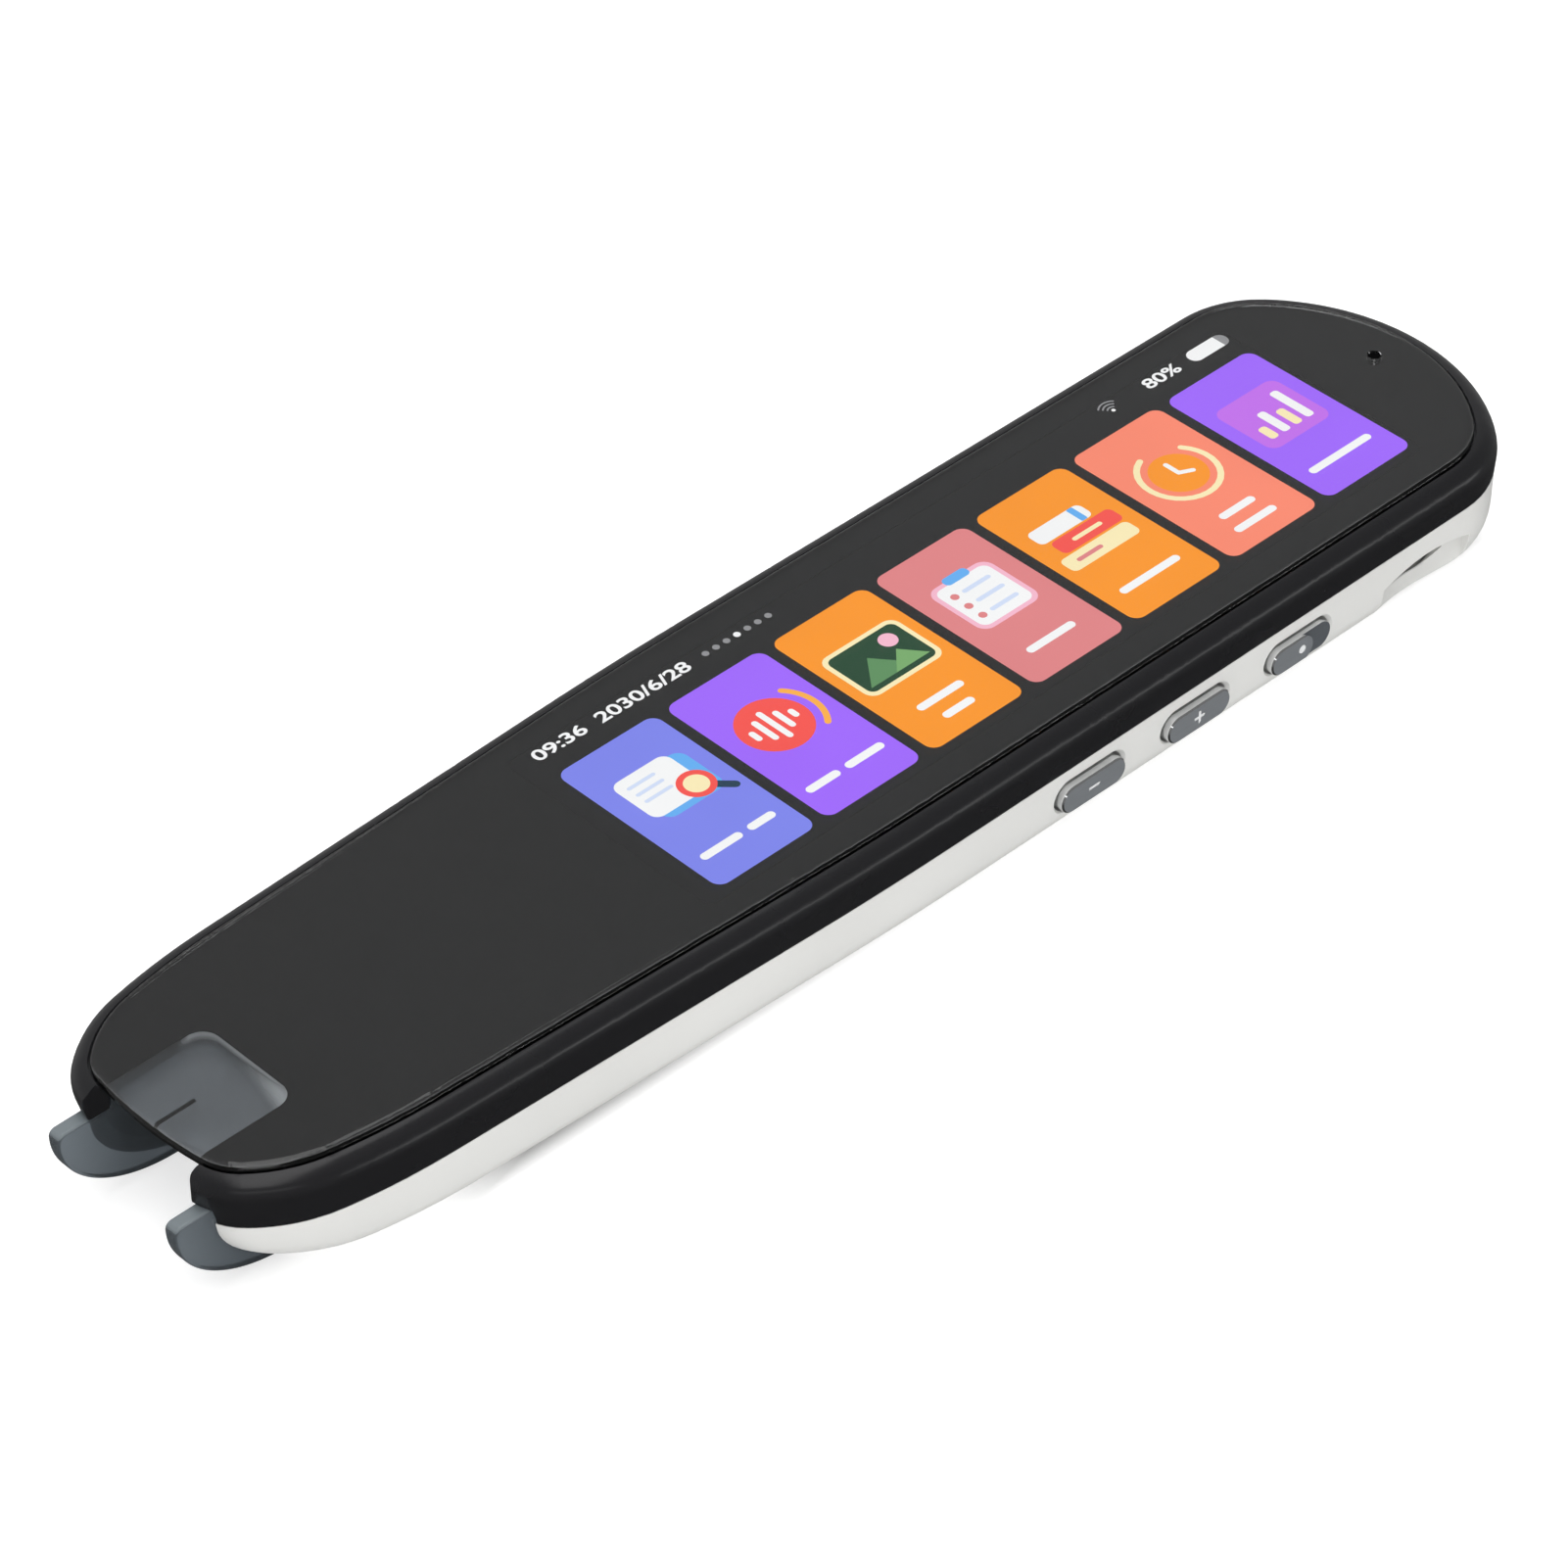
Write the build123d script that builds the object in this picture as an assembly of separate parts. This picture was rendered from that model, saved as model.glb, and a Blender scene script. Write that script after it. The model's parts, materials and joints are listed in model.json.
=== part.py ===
from build123d import *

import math
import os

# Scanning translator pen: a bar with a full-length glass front on a black frame, closed
# by a white rear shell, with a smoked scan head in the nose and three side buttons.
# Millimetres. +X runs from the scanning nose to the tail, +Z points out of the display,
# -Y is the side with the buttons. The origin lies on the flat underside, under the
# middle of the body's length and width.

os.makedirs("parts", exist_ok=True)

# ---- Plan of the body: the edge of the glass's flat top, in tangent arcs ----
NOSE_X = -72.74
TAIL_X = 75.4
HALF_WIDTH = 14.95
NOSE_ARCS = [(44.0, 90.0, 81.7), (4.04, 81.7, 43.5), (12.13, 43.5, 11.5), (62.7, 11.5, 2.4)]
TAPER_ANGLE = 2.4
FLANK_RADIUS = 400.0
TAIL_CORNER_RADIUS = 8.4
TAIL_END_RADIUS = 18.0

# ---- Heights of the stack, from the underside up ----
FLOOR = 1.3
BOARD_Z = 7.6
BOARD_THICK = 0.8
PARTING_Z = 8.42
PARTING_TILT = 0.3
PARTING_GAP = 0.08
PLATE_Z = 9.7
PLATE_THICK = 0.8
LEDGE_Z = 12.5
LIP_Z = 13.03
GLASS_Z = 12.7
GLASS_THICK = 0.8

# ---- Walls and outside widths ----
WALL = 1.5
SOLE_RADIUS = 5.0
SIDE_HALF_WIDTH = 17.06
PARTING_HALF_WIDTH = 17.2
WIDEST_HALF_WIDTH = 17.5
WIDEST_Z = 11.33
TAIL_WALL_X = 78.6
LIP_HALF_WIDTH = 15.85
FLANK_POWER = 1.85
TAIL_SHOULDER_Z = 10.5
TAIL_POWER = 1.9
GLASS_HALF_WIDTH = 15.65
BEVEL_WIDTH = 0.7
BEVEL_HEIGHT = 0.5
LEDGE_HALF_WIDTH = 14.15
TONGUE_HALF_WIDTH = 15.5
TONGUE_THICK = 0.6
TONGUE_Z = 7.5
TONGUE_FRONT_X = -72.3
ARC_STEPS = 6

# ---- Nose ----
SOLE_FRONT_X = -62.0
NOSE_TOP_Z = 8.75
SHELL_FRONT_X = -74.5
FRAME_FRONT_X = -75.05
LIP_FRONT_X = -73.64
NOTCH_HALF_WIDTH = 6.3
NOTCH_BACK_X = -72.0
NOTCH_CORNER_X = -74.55
NOTCH_ROUND = 0.6
BAY_FRONT_X = -72.2
BAY_BACK_X = -53.5
BAY_HALF_WIDTH = 8.3
CHEEK_Z = 9.75
MOUTH_HALF_WIDTH = 8.15
MOUTH_BACK_X = -64.0
FOOT_SLOT_BACK_X = -61.5

# ---- Scan head ----
FOOT_INNER = 6.5
FOOT_THICK = 1.5
FOOT_TOP_Z = 9.6
FOOT_STEP_X = -71.9
FOOT_CENTRE_X = -65.5
FOOT_CENTRE_Z = 8.8
FOOT_REACH = 11.8
FOOT_DROP = 8.5
FOOT_HEEL_X = -62.5
FOOT_LIFT = 1.2
FOOT_ROUND = 0.3
HEAD_BACK_X = -60.0
HEAD_TOP_Z = 12.35
HEAD_FRONT_GAP = 0.4
BROW_X = (-72.9, -71.5)
ROOF_LOW_Z = 10.4
ROOF_BACK_X = -61.9
RECESS_Z = 11.2
RECESS_BACK_X = -62.5
RECESS_HALF_WIDTH = 5.9
RAMP_RUN = 2.4
RAMP_RISE = 1.0
RAMP_TURN = 16.0
CARRIER_BACK_X = -50.5
CROSSBAR_THICK = 2.0

# ---- Display and windows in the printed border ----
SCREEN_X = (-24.0, 65.0)
SCREEN_Y = (-12.3, 12.9)
PANEL_X = (-25.6, 66.5)
PANEL_Y = (-12.9, 13.3)
BACKLIGHT_Z = 10.8
PANEL_Z = 11.42
SCREEN_Z = 12.64
WINDOW_BACK_X = -62.7
WINDOW_HALF_WIDTH = 5.7
WINDOW_RADIUS = 1.8
AIM_LINE_X = (-72.6, -68.8)
AIM_LINE_Y = -0.5
AIM_LINE_WIDTH = 0.35
MIC_X = 71.9
MIC_HOLE_RADIUS = 0.65

# ---- Side buttons ----
BUTTON_X = {"front": 16.5, "middle": 29.8, "rear": 43.15}
BUTTON_Z = 5.3
SLOT_LENGTH = 8.4
SLOT_HEIGHT = 3.2
CAP_LENGTH = 7.9
CAP_HEIGHT = 2.75
CAP_FACE_Y = -17.66
CAP_BEVEL = 0.15
PAD_LENGTH = 5.3
STEP_DEPTH = 0.3
SIGN_LENGTH = 1.4
SIGN_WIDTH = 0.34
SIGN_RADIUS = 0.45
SIGN_DEPTH = 0.08
FLANGE_LENGTH = 9.2
FLANGE_HEIGHT = 4.0
FLANGE_Y = (-15.36, -14.76)
BUTTON_SEAT_Y = -15.56
PLUNGER_END_Y = -13.95
SWITCH_Y = (-13.5, -12.1)
BUTTON_FLEX_THICK = 0.2
BRACKET_THICK = 0.6

# ---- Lanyard bar ----
LANYARD_X = (54.7, 66.4)
LANYARD_SPRING_Z = 5.2
LANYARD_TOP_Z = 6.3
LANYARD_END_DEPTH = 0.9
LANYARD_SCOOP = 1.5
STRAP_X = (58.0, 64.6)
STRAP_Z = 2.6
STRAP_END_Z = 3.8
STRAP_SPRING_Z = 5.0
STRAP_TOP_Z = 5.6
STRAP_Y = (-13.5, -11.2)
STRAP_FALL = 50.0
POCKET_WALL = 0.9

# ---- Charging port ----
PORT_Z = 6.0
PORT_WIDTH = 8.94
PORT_HEIGHT = 3.16
PORT_X = (70.5, 77.8)
PORT_CLEARANCE = 0.22

# ---- Inside parts ----
SCREW_PLACES = [(-40.0, 10.5), (-40.0, -10.5), (4.0, 12.0), (4.0, -12.0), (52.0, 11.5), (51.0, -7.5)]
SCREW_RADIUS = 0.7
SCREW_HEAD_RADIUS = 1.2
SCREW_HEAD_THICK = 0.7
SCREW_TOP_Z = 10.0
BOSS_RADIUS = 1.6
CLIP_X = (5.0, 30.0, 52.0)
CLIP_LENGTH = 4.0
BATTERY_X = (-43.0, 8.0)
BATTERY_HALF_WIDTH = 11.2
BATTERY_Z = (1.5, 6.3)
SPEAKER_X = (28.0, 48.0)
SPEAKER_Y = (-4.0, 8.0)
SPEAKER_Z = (1.9, 5.9)
GRILLE_PITCH = 2.6
GRILLE_ROWS = 3
GRILLE_COLUMNS = 6
GRILLE_RADIUS = 0.55
SPRING_Y = 5.0
SPRING_Z = 4.3
SPRING_RADIUS = 1.3
SPRING_WIRE_RADIUS = 0.22
SPRING_TURNS = 5
SPRING_STOP_X = -46.0
CHASSIS_HALF_WIDTH = 6.1
CHASSIS_WALL = 0.8
CHASSIS_PROFILE = [(-64.0, 1.5), (-54.0, 1.5), (-54.0, 11.0), (-60.5, 11.0)]
CHASSIS_HOLLOW = [(-62.6, 2.3), (-54.8, 2.3), (-54.8, 10.2), (-59.8, 10.2)]
CHASSIS_MOUTH_Z = (3.6, 8.2)
PANE_Z = (2.5, 9.9)
PANE_THICK = 0.5
CAMERA_TILT = 30.0
CAMERA_PLACE = (-57.6, 0.0, 6.6)


# ---- Building blocks ----
def block(x_span, y_span, z_span):
    """Box between two corners, given as three (low, high) pairs."""
    centre = [(low + high) / 2 for low, high in (x_span, y_span, z_span)]
    size = [high - low for low, high in (x_span, y_span, z_span)]
    return Pos(*centre) * Box(*size)


def soft_block(x_span, y_span, z_span, radius):
    """Box with its four upright edges rounded."""
    return fillet(block(x_span, y_span, z_span).edges().filter_by(Axis.Z), radius)


def post(x, y, z_span, radius):
    """Upright cylinder."""
    height = z_span[1] - z_span[0]
    return Pos(x, y, z_span[0] + height / 2) * Cylinder(radius, height)


def side_prism(profile, x, z, y_span):
    """Profile drawn on the button side, X along it and Y up, and run through a span of depth."""
    plane = Plane(origin=(x, y_span[1], z), x_dir=(1, 0, 0), z_dir=(0, -1, 0))
    return extrude(plane * profile, amount=y_span[1] - y_span[0])


def upright_profile(points, y_span):
    """Closed polygon of (x, z) points run across the body."""
    face = make_face(Polyline(*points, close=True))
    plane = Plane(origin=(0, y_span[1], 0), x_dir=(1, 0, 0), z_dir=(0, -1, 0))
    return extrude(plane * face, amount=y_span[1] - y_span[0])


def both_sides(shape):
    """A shape and its mirror image across the body's middle plane."""
    return [shape, mirror(shape, about=Plane.XZ)]


def turn_arc(start, radius, heading_in, heading_out):
    """Clockwise arc tangent to two headings, as its start, middle and end points."""
    first = math.radians(heading_in)
    points = [start]
    for heading in ((heading_in + heading_out) / 2, heading_out):
        angle = math.radians(heading)
        along = radius * (math.sin(first) - math.sin(angle))
        across = radius * (math.cos(angle) - math.cos(first))
        points.append((start[0] + along, start[1] + across))
    return points


def flank_curves(half_width, front_x, tail_x):
    """Curves of one side, nose to tail, as lists of 2 points (line) or 3 points (arc)."""
    grow = half_width - HALF_WIDTH
    curves = []
    place = (front_x, 0.0)
    for radius, heading_in, heading_out in NOSE_ARCS:
        curves.append(turn_arc(place, radius + grow, heading_in, heading_out))
        place = curves[-1][-1]
    taper = math.radians(TAPER_ANGLE)
    flank_radius = FLANK_RADIUS + grow
    taper_rise = half_width - flank_radius * (1 - math.cos(taper)) - place[1]
    taper_end = (place[0] + taper_rise / math.tan(taper), place[1] + taper_rise)
    curves.append([place, taper_end])
    curves.append(turn_arc(taper_end, flank_radius, TAPER_ANGLE, 0.0))
    corner_y = HALF_WIDTH - TAIL_CORNER_RADIUS
    end_centre_x = tail_x - grow - TAIL_END_RADIUS
    radius_step = TAIL_END_RADIUS - TAIL_CORNER_RADIUS
    corner_x = end_centre_x + math.sqrt(radius_step**2 - corner_y**2)
    curves.append([curves[-1][-1], (corner_x, half_width)])
    end_heading = -math.degrees(math.acos(corner_y / radius_step))
    curves.append(turn_arc((corner_x, half_width), TAIL_CORNER_RADIUS + grow, 0.0, end_heading))
    return curves


def outline(half_width, front_x=None, tail_x=None):
    """Closed plan curve of the body where it has the given half width and end points."""
    grow = half_width - HALF_WIDTH
    front_x = NOSE_X - grow if front_x is None else front_x
    tail_x = TAIL_X + grow if tail_x is None else tail_x
    near = flank_curves(half_width, front_x, tail_x)
    far = [[(x, -y) for x, y in reversed(curve)] for curve in reversed(near)]
    nose = [far[-1][0], (front_x, 0.0), near[0][-1]]
    tail = [near[-1][-1], (tail_x, 0.0), far[0][0]]
    curves = [nose] + near[1:] + [tail] + far[:-1]
    edges = [Line(*c) if len(c) == 2 else ThreePointArc(*c) for c in curves]
    return Wire(edges)


def slab(half_width, z_span, front_x=None):
    """Flat slab with the body's plan."""
    face = Pos(0, 0, z_span[0]) * Face(outline(half_width, front_x))
    return extrude(face, amount=z_span[1] - z_span[0], dir=(0, 0, 1))


def lofted(levels):
    """Solid through plan curves, one for each (z, half_width, front_x, tail_x) level."""
    return Solid.make_loft([Pos(0, 0, level[0]) * outline(*level[1:]) for level in levels])


# ---- Outside shapes ----
def nose_x(z, floor, wall):
    """Foremost point at a height: the nose sweeps up from the sole in a quarter of an ellipse."""
    reach = SOLE_FRONT_X - SHELL_FRONT_X - wall
    drop = max(0.0, (NOSE_TOP_Z - z) / (NOSE_TOP_Z - floor))
    return SOLE_FRONT_X - reach * math.sqrt(1 - drop**2)


def tray_levels(floor, wall):
    """Levels of the lower body from its sole up the walls: outside, or inside of a wall."""
    corner = SOLE_RADIUS - wall
    tucks = []
    for step in range(ARC_STEPS + 1):
        turn = math.radians(90 * step / ARC_STEPS)
        tucks.append((floor + corner * (1 - math.cos(turn)), wall + corner * (1 - math.sin(turn))))
    levels = [(z, SIDE_HALF_WIDTH - tuck, nose_x(z, floor, wall), TAIL_WALL_X - tuck) for z, tuck in tucks]
    flare = PARTING_HALF_WIDTH - SIDE_HALF_WIDTH
    for z, width in ((6.8, SIDE_HALF_WIDTH + 0.4 * flare), (NOSE_TOP_Z, PARTING_HALF_WIDTH)):
        levels.append((z, width - wall, nose_x(z, floor, wall), TAIL_WALL_X - wall))
    return levels


def shoulder_out(z, foot_z, power):
    """Share of the shoulder's reach left at a height: 1 at its foot and 0 at the lip."""
    rise = max(0.0, (z - foot_z) / (LIP_Z - foot_z))
    return max(0.0, 1 - rise**power) ** (1 / power)


def body_outside():
    """Whole body without its glass: rounded sole, nearly upright walls, and a rounded shoulder."""
    levels = tray_levels(0.0, 0.0)
    growth = 0.6
    bulge = PARTING_HALF_WIDTH + growth * (WIDEST_HALF_WIDTH - PARTING_HALF_WIDTH)
    bulge_front_x = SHELL_FRONT_X + growth * (FRAME_FRONT_X - SHELL_FRONT_X)
    levels.append(((NOSE_TOP_Z + WIDEST_Z) / 2, bulge, bulge_front_x, TAIL_WALL_X))
    lip_tail_x = TAIL_X + LIP_HALF_WIDTH - HALF_WIDTH
    for step in range(ARC_STEPS + 1):
        turn = math.radians(90 * step / ARC_STEPS)
        z = WIDEST_Z + (LIP_Z - WIDEST_Z) * math.sin(turn)
        out = shoulder_out(z, WIDEST_Z, FLANK_POWER)
        tail_out = shoulder_out(z, TAIL_SHOULDER_Z, TAIL_POWER)
        width = LIP_HALF_WIDTH + (WIDEST_HALF_WIDTH - LIP_HALF_WIDTH) * out
        front = LIP_FRONT_X + (FRAME_FRONT_X - LIP_FRONT_X) * out
        levels.append((z, width, front, lip_tail_x + (TAIL_WALL_X - lip_tail_x) * tail_out))
    return lofted(levels)


def parting_half(side):
    """Everything above (side 1) or below (side -1) the parting plane, with half of its gap."""
    height = 20.0
    lift = side * (height - PARTING_GAP) / 2
    return Pos(0, 0, PARTING_Z) * Rot(0, -PARTING_TILT, 0) * Pos(0, 0, lift) * Box(200, 50, height)


# ---- Rear shell ----
def lanyard_pocket(body):
    """Closed walls round the lanyard slot, kept inside the shell's outside."""
    x_span = (LANYARD_X[0] - POCKET_WALL, LANYARD_X[1] + POCKET_WALL)
    y_span = (-SIDE_HALF_WIDTH, STRAP_Y[1] + POCKET_WALL)
    return block(x_span, y_span, (FLOOR / 2, LANYARD_TOP_Z + POCKET_WALL)) & body


def arch_face(x_span, z_foot, z_spring, z_top):
    """Upright face under an arch, with straight feet, drawn as (x, z)."""
    low, high = x_span
    crown = ThreePointArc((low, z_spring), ((low + high) / 2, z_top), (high, z_spring))
    feet = Polyline((high, z_spring), (high, z_foot), (low, z_foot), (low, z_spring))
    return make_face([crown, feet])


def strap_slot_face():
    """Upright face of the slot: hollow below, where it lies along the bar, and arched above."""
    low, high = STRAP_X
    middle = (low + high) / 2
    sill = ThreePointArc((low, STRAP_END_Z), (middle, STRAP_Z), (high, STRAP_END_Z))
    jamb = Line((high, STRAP_END_Z), (high, STRAP_SPRING_Z))
    head = ThreePointArc((high, STRAP_SPRING_Z), (middle, STRAP_TOP_Z), (low, STRAP_SPRING_Z))
    return make_face([sill, jamb, head, Line((low, STRAP_SPRING_Z), (low, STRAP_END_Z))])


def strap_slot():
    """Slot above the bar: level through the wall, and then down and inwards behind the bar."""
    fall = math.radians(STRAP_FALL)
    scoop_back_y = -SIDE_HALF_WIDTH + LANYARD_END_DEPTH + LANYARD_SCOOP
    reach = (STRAP_Y[0] - scoop_back_y + 0.1) / math.cos(fall)
    plane = Plane(origin=(0, scoop_back_y, 0), x_dir=(1, 0, 0), z_dir=(0, -1, 0))
    chute = extrude(plane * strap_slot_face(), amount=reach, dir=(0, math.cos(fall), -math.sin(fall)))
    return [side_prism(strap_slot_face(), 0, 0, (-SIDE_HALF_WIDTH - 1, STRAP_Y[1])), chute]


def lanyard_cuts():
    """Scooped side, strap slot above the bar, and the opening inboard of it in the underside."""
    middle = sum(LANYARD_X) / 2
    half_chord = (LANYARD_X[1] - LANYARD_X[0]) / 2
    scoop_radius = (half_chord**2 + LANYARD_SCOOP**2) / (2 * LANYARD_SCOOP)
    scoop_y = -SIDE_HALF_WIDTH + LANYARD_END_DEPTH + LANYARD_SCOOP - scoop_radius
    below = -1.0
    arch = arch_face(LANYARD_X, below, LANYARD_SPRING_Z, LANYARD_TOP_Z)
    scoop = side_prism(arch, 0, 0, (-SIDE_HALF_WIDTH - 1, STRAP_Y[0]))
    scoop &= post(middle, scoop_y, (below, LANYARD_TOP_Z + 1), scoop_radius)
    underside = block(STRAP_X, STRAP_Y, (below, STRAP_SPRING_Z))
    return [scoop, underside] + strap_slot()


def button_cuts():
    """A chamfered pill slot for each button, and a flat seat behind it for the cap's flange."""
    cuts = []
    chamfer = 0.28
    for x in BUTTON_X.values():
        slot = SlotOverall(SLOT_LENGTH, SLOT_HEIGHT)
        cuts.append(side_prism(slot, x, BUTTON_Z, (-SIDE_HALF_WIDTH - 1, BUTTON_SEAT_Y + 1)))
        wide = SlotOverall(SLOT_LENGTH + 4 * chamfer, SLOT_HEIGHT + 4 * chamfer)
        outer = Plane(origin=(x, -SIDE_HALF_WIDTH - chamfer, BUTTON_Z), x_dir=(1, 0, 0), z_dir=(0, 1, 0))
        inner = Plane(origin=(x, -SIDE_HALF_WIDTH + chamfer, BUTTON_Z), x_dir=(1, 0, 0), z_dir=(0, 1, 0))
        cuts.append(loft([outer * wide, inner * slot]))
        seat_x = (x - FLANGE_LENGTH / 2 - 0.5, x + FLANGE_LENGTH / 2 + 0.5)
        cuts.append(block(seat_x, (BUTTON_SEAT_Y, SWITCH_Y[1]), (BUTTON_Z - 2.4, BUTTON_Z + 2.2)))
    return cuts


def grille_places():
    """Centres of the speaker grille's holes."""
    x_mid = sum(SPEAKER_X) / 2
    y_mid = sum(SPEAKER_Y) / 2
    grid = GridLocations(GRILLE_PITCH, GRILLE_PITCH, GRILLE_COLUMNS, GRILLE_ROWS)
    return [(x_mid + spot.position.X, y_mid + spot.position.Y) for spot in grid]


def port_cut():
    """Pill opening through the tail wall for the charging plug."""
    length = PORT_WIDTH + 2 * PORT_CLEARANCE
    height = PORT_HEIGHT + 2 * PORT_CLEARANCE
    plane = Plane(origin=(PORT_X[0] + 1, 0, PORT_Z), x_dir=(0, 1, 0), z_dir=(1, 0, 0))
    return extrude(plane * SlotOverall(length, height), amount=12)


def rear_shell():
    """White tray with a swept-up nose, open between the scan head's feet."""
    body = body_outside() - parting_half(1)
    hollow = tray_levels(FLOOR, WALL)
    hollow.append((PLATE_Z, *hollow[-1][1:]))
    shell = body - lofted(hollow)
    shell += lanyard_pocket(body)
    stop_rib = block((SPRING_STOP_X, SPRING_STOP_X + 1.2), (-8.0, 8.0), (FLOOR / 2, 6.8))
    guide = block((HEAD_BACK_X, -52.0), (BAY_HALF_WIDTH, BAY_HALF_WIDTH + 1.0), (FLOOR / 2, TONGUE_Z - 0.2))
    shell += [stop_rib] + both_sides(guide)
    beyond = FRAME_FRONT_X - 5
    tall = (-1, NOSE_TOP_Z)
    cuts = [block((beyond, MOUTH_BACK_X), (-MOUTH_HALF_WIDTH, MOUTH_HALF_WIDTH), tall)]
    slot = block((beyond, FOOT_SLOT_BACK_X), (FOOT_INNER - 0.2, MOUTH_HALF_WIDTH), tall)
    cuts += both_sides(slot)
    cuts += button_cuts()
    cuts += lanyard_cuts()
    cuts.append(port_cut())
    cuts += [post(x, y, (-1, FLOOR + 1), GRILLE_RADIUS) for x, y in grille_places()]
    for x in CLIP_X:
        x_span = (x - CLIP_LENGTH / 2 - 0.3, x + CLIP_LENGTH / 2 + 0.3)
        cuts += both_sides(block(x_span, (15.5, 16.1), (7.6, 8.35)))
    return shell - cuts


# ---- Front frame ----
def frame_clips():
    """Tongue that locates the frame in the shell, with its snap bumps."""
    z_span = (TONGUE_Z, PLATE_Z - 0.5)
    tall = (z_span[0] - 1, z_span[1] + 1)
    bay_half_width = BAY_HALF_WIDTH + 1.2
    tongue = slab(TONGUE_HALF_WIDTH, z_span, TONGUE_FRONT_X)
    tongue -= slab(TONGUE_HALF_WIDTH - TONGUE_THICK, tall, TONGUE_FRONT_X + TONGUE_THICK)
    tongue -= block((-80, BAY_BACK_X), (-bay_half_width, bay_half_width), tall)
    tongue -= block((PORT_X[0], 80), (-6.0, 6.0), (TONGUE_Z - 1, BOARD_Z + 0.2))
    bumps = []
    for x in CLIP_X:
        x_span = (x - CLIP_LENGTH / 2, x + CLIP_LENGTH / 2)
        bumps += both_sides(block(x_span, (TONGUE_HALF_WIDTH - 0.3, TONGUE_HALF_WIDTH + 0.4), (7.75, 8.2)))
    return tongue + bumps


def notch_round():
    """Cutter that rounds the upright edge where the notch meets the nose, on one side."""
    middle_x = NOTCH_CORNER_X + NOTCH_ROUND
    middle_y = NOTCH_HALF_WIDTH + NOTCH_ROUND
    z_span = (TONGUE_Z, LIP_Z + 1)
    corner = block((NOTCH_CORNER_X - 2, middle_x), (NOTCH_HALF_WIDTH - 0.1, middle_y), z_span)
    return corner - post(middle_x, middle_y, z_span, NOTCH_ROUND)


def front_frame():
    """Black frame: shoulder, glass pocket, display tray, board bosses and the notched nose."""
    frame = body_outside() - parting_half(-1)
    frame -= slab(LIP_HALF_WIDTH, (LEDGE_Z, LIP_Z + 1))
    frame -= slab(LEDGE_HALF_WIDTH, (PLATE_Z + PLATE_THICK, LEDGE_Z + 0.1))
    frame -= slab(TONGUE_HALF_WIDTH - TONGUE_THICK, (TONGUE_Z, PLATE_Z), TONGUE_FRONT_X + TONGUE_THICK)
    frame += frame_clips()
    frame += [post(x, y, (BOARD_Z + BOARD_THICK, PLATE_Z + 0.1), BOSS_RADIUS) for x, y in SCREW_PLACES]
    beyond = FRAME_FRONT_X - 5
    notch = block((beyond, NOTCH_BACK_X), (-NOTCH_HALF_WIDTH, NOTCH_HALF_WIDTH), (TONGUE_Z, LIP_Z + 1))
    bay = block((BAY_FRONT_X, BAY_BACK_X), (-BAY_HALF_WIDTH, BAY_HALF_WIDTH), (TONGUE_Z, LEDGE_Z + 0.1))
    under = block((beyond, BAY_BACK_X), (-BAY_HALF_WIDTH, BAY_HALF_WIDTH), (TONGUE_Z, CHEEK_Z))
    cuts = [notch, bay, under] + both_sides(notch_round())
    cuts += [post(x, y, (BOARD_Z, SCREW_TOP_Z + 0.1), SCREW_RADIUS + 0.02) for x, y in SCREW_PLACES]
    cuts.append(post(MIC_X, 0, (TONGUE_Z, LEDGE_Z), 1.8))
    cuts.append(block((-32.0, -27.5), (-8.0, 8.0), (PLATE_Z - 1, PLATE_Z + 1)))
    return frame - cuts


# ---- Glass and what is bonded to it ----
def cover_glass():
    """Full-length cover glass with a rounded bevel all round and the microphone hole."""
    bevel_z = GLASS_Z + GLASS_THICK - BEVEL_HEIGHT
    levels = []
    for step in range(5):
        turn = math.radians(90 * step / 4)
        width = GLASS_HALF_WIDTH - BEVEL_WIDTH * (1 - math.cos(turn))
        front = NOSE_X - (width - HALF_WIDTH)
        levels.append((bevel_z + BEVEL_HEIGHT * math.sin(turn), width, front))
    glass = slab(GLASS_HALF_WIDTH, (GLASS_Z, bevel_z)) + lofted(levels)
    return glass - post(MIC_X, 0, (GLASS_Z - 1, GLASS_Z + 2), MIC_HOLE_RADIUS)


def cover_ink():
    """Black printed border under the glass, clear over the display and the scan window."""
    z_span = (LEDGE_Z + 0.09, GLASS_Z - 0.01)
    tall = (z_span[0] - 1, z_span[1] + 1)
    ink = slab(GLASS_HALF_WIDTH - 0.08, z_span)
    window_y = (-WINDOW_HALF_WIDTH, WINDOW_HALF_WIDTH)
    window = soft_block((NOSE_X - 8, WINDOW_BACK_X), window_y, tall, WINDOW_RADIUS)
    screen = soft_block(SCREEN_X, SCREEN_Y, tall, 1.0)
    return ink - [window, screen, post(MIC_X, 0, tall, MIC_HOLE_RADIUS + 0.1)]


def aiming_line():
    """Thin printed line in the scan window that marks the reading centre."""
    half = AIM_LINE_WIDTH / 2
    return block(AIM_LINE_X, (AIM_LINE_Y - half, AIM_LINE_Y + half), (LEDGE_Z + 0.09, GLASS_Z - 0.01))


def glass_adhesive():
    """Ring of tape that bonds the printed glass to the frame's ledge."""
    z_span = (LEDGE_Z, LEDGE_Z + 0.09)
    ring = slab(GLASS_HALF_WIDTH - 0.1, z_span)
    ring -= slab(LEDGE_HALF_WIDTH + 0.05, (z_span[0] - 1, z_span[1] + 1))
    return ring - block((-80, -70), (-NOTCH_HALF_WIDTH, NOTCH_HALF_WIDTH), (z_span[0] - 1, z_span[1] + 1))


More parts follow.
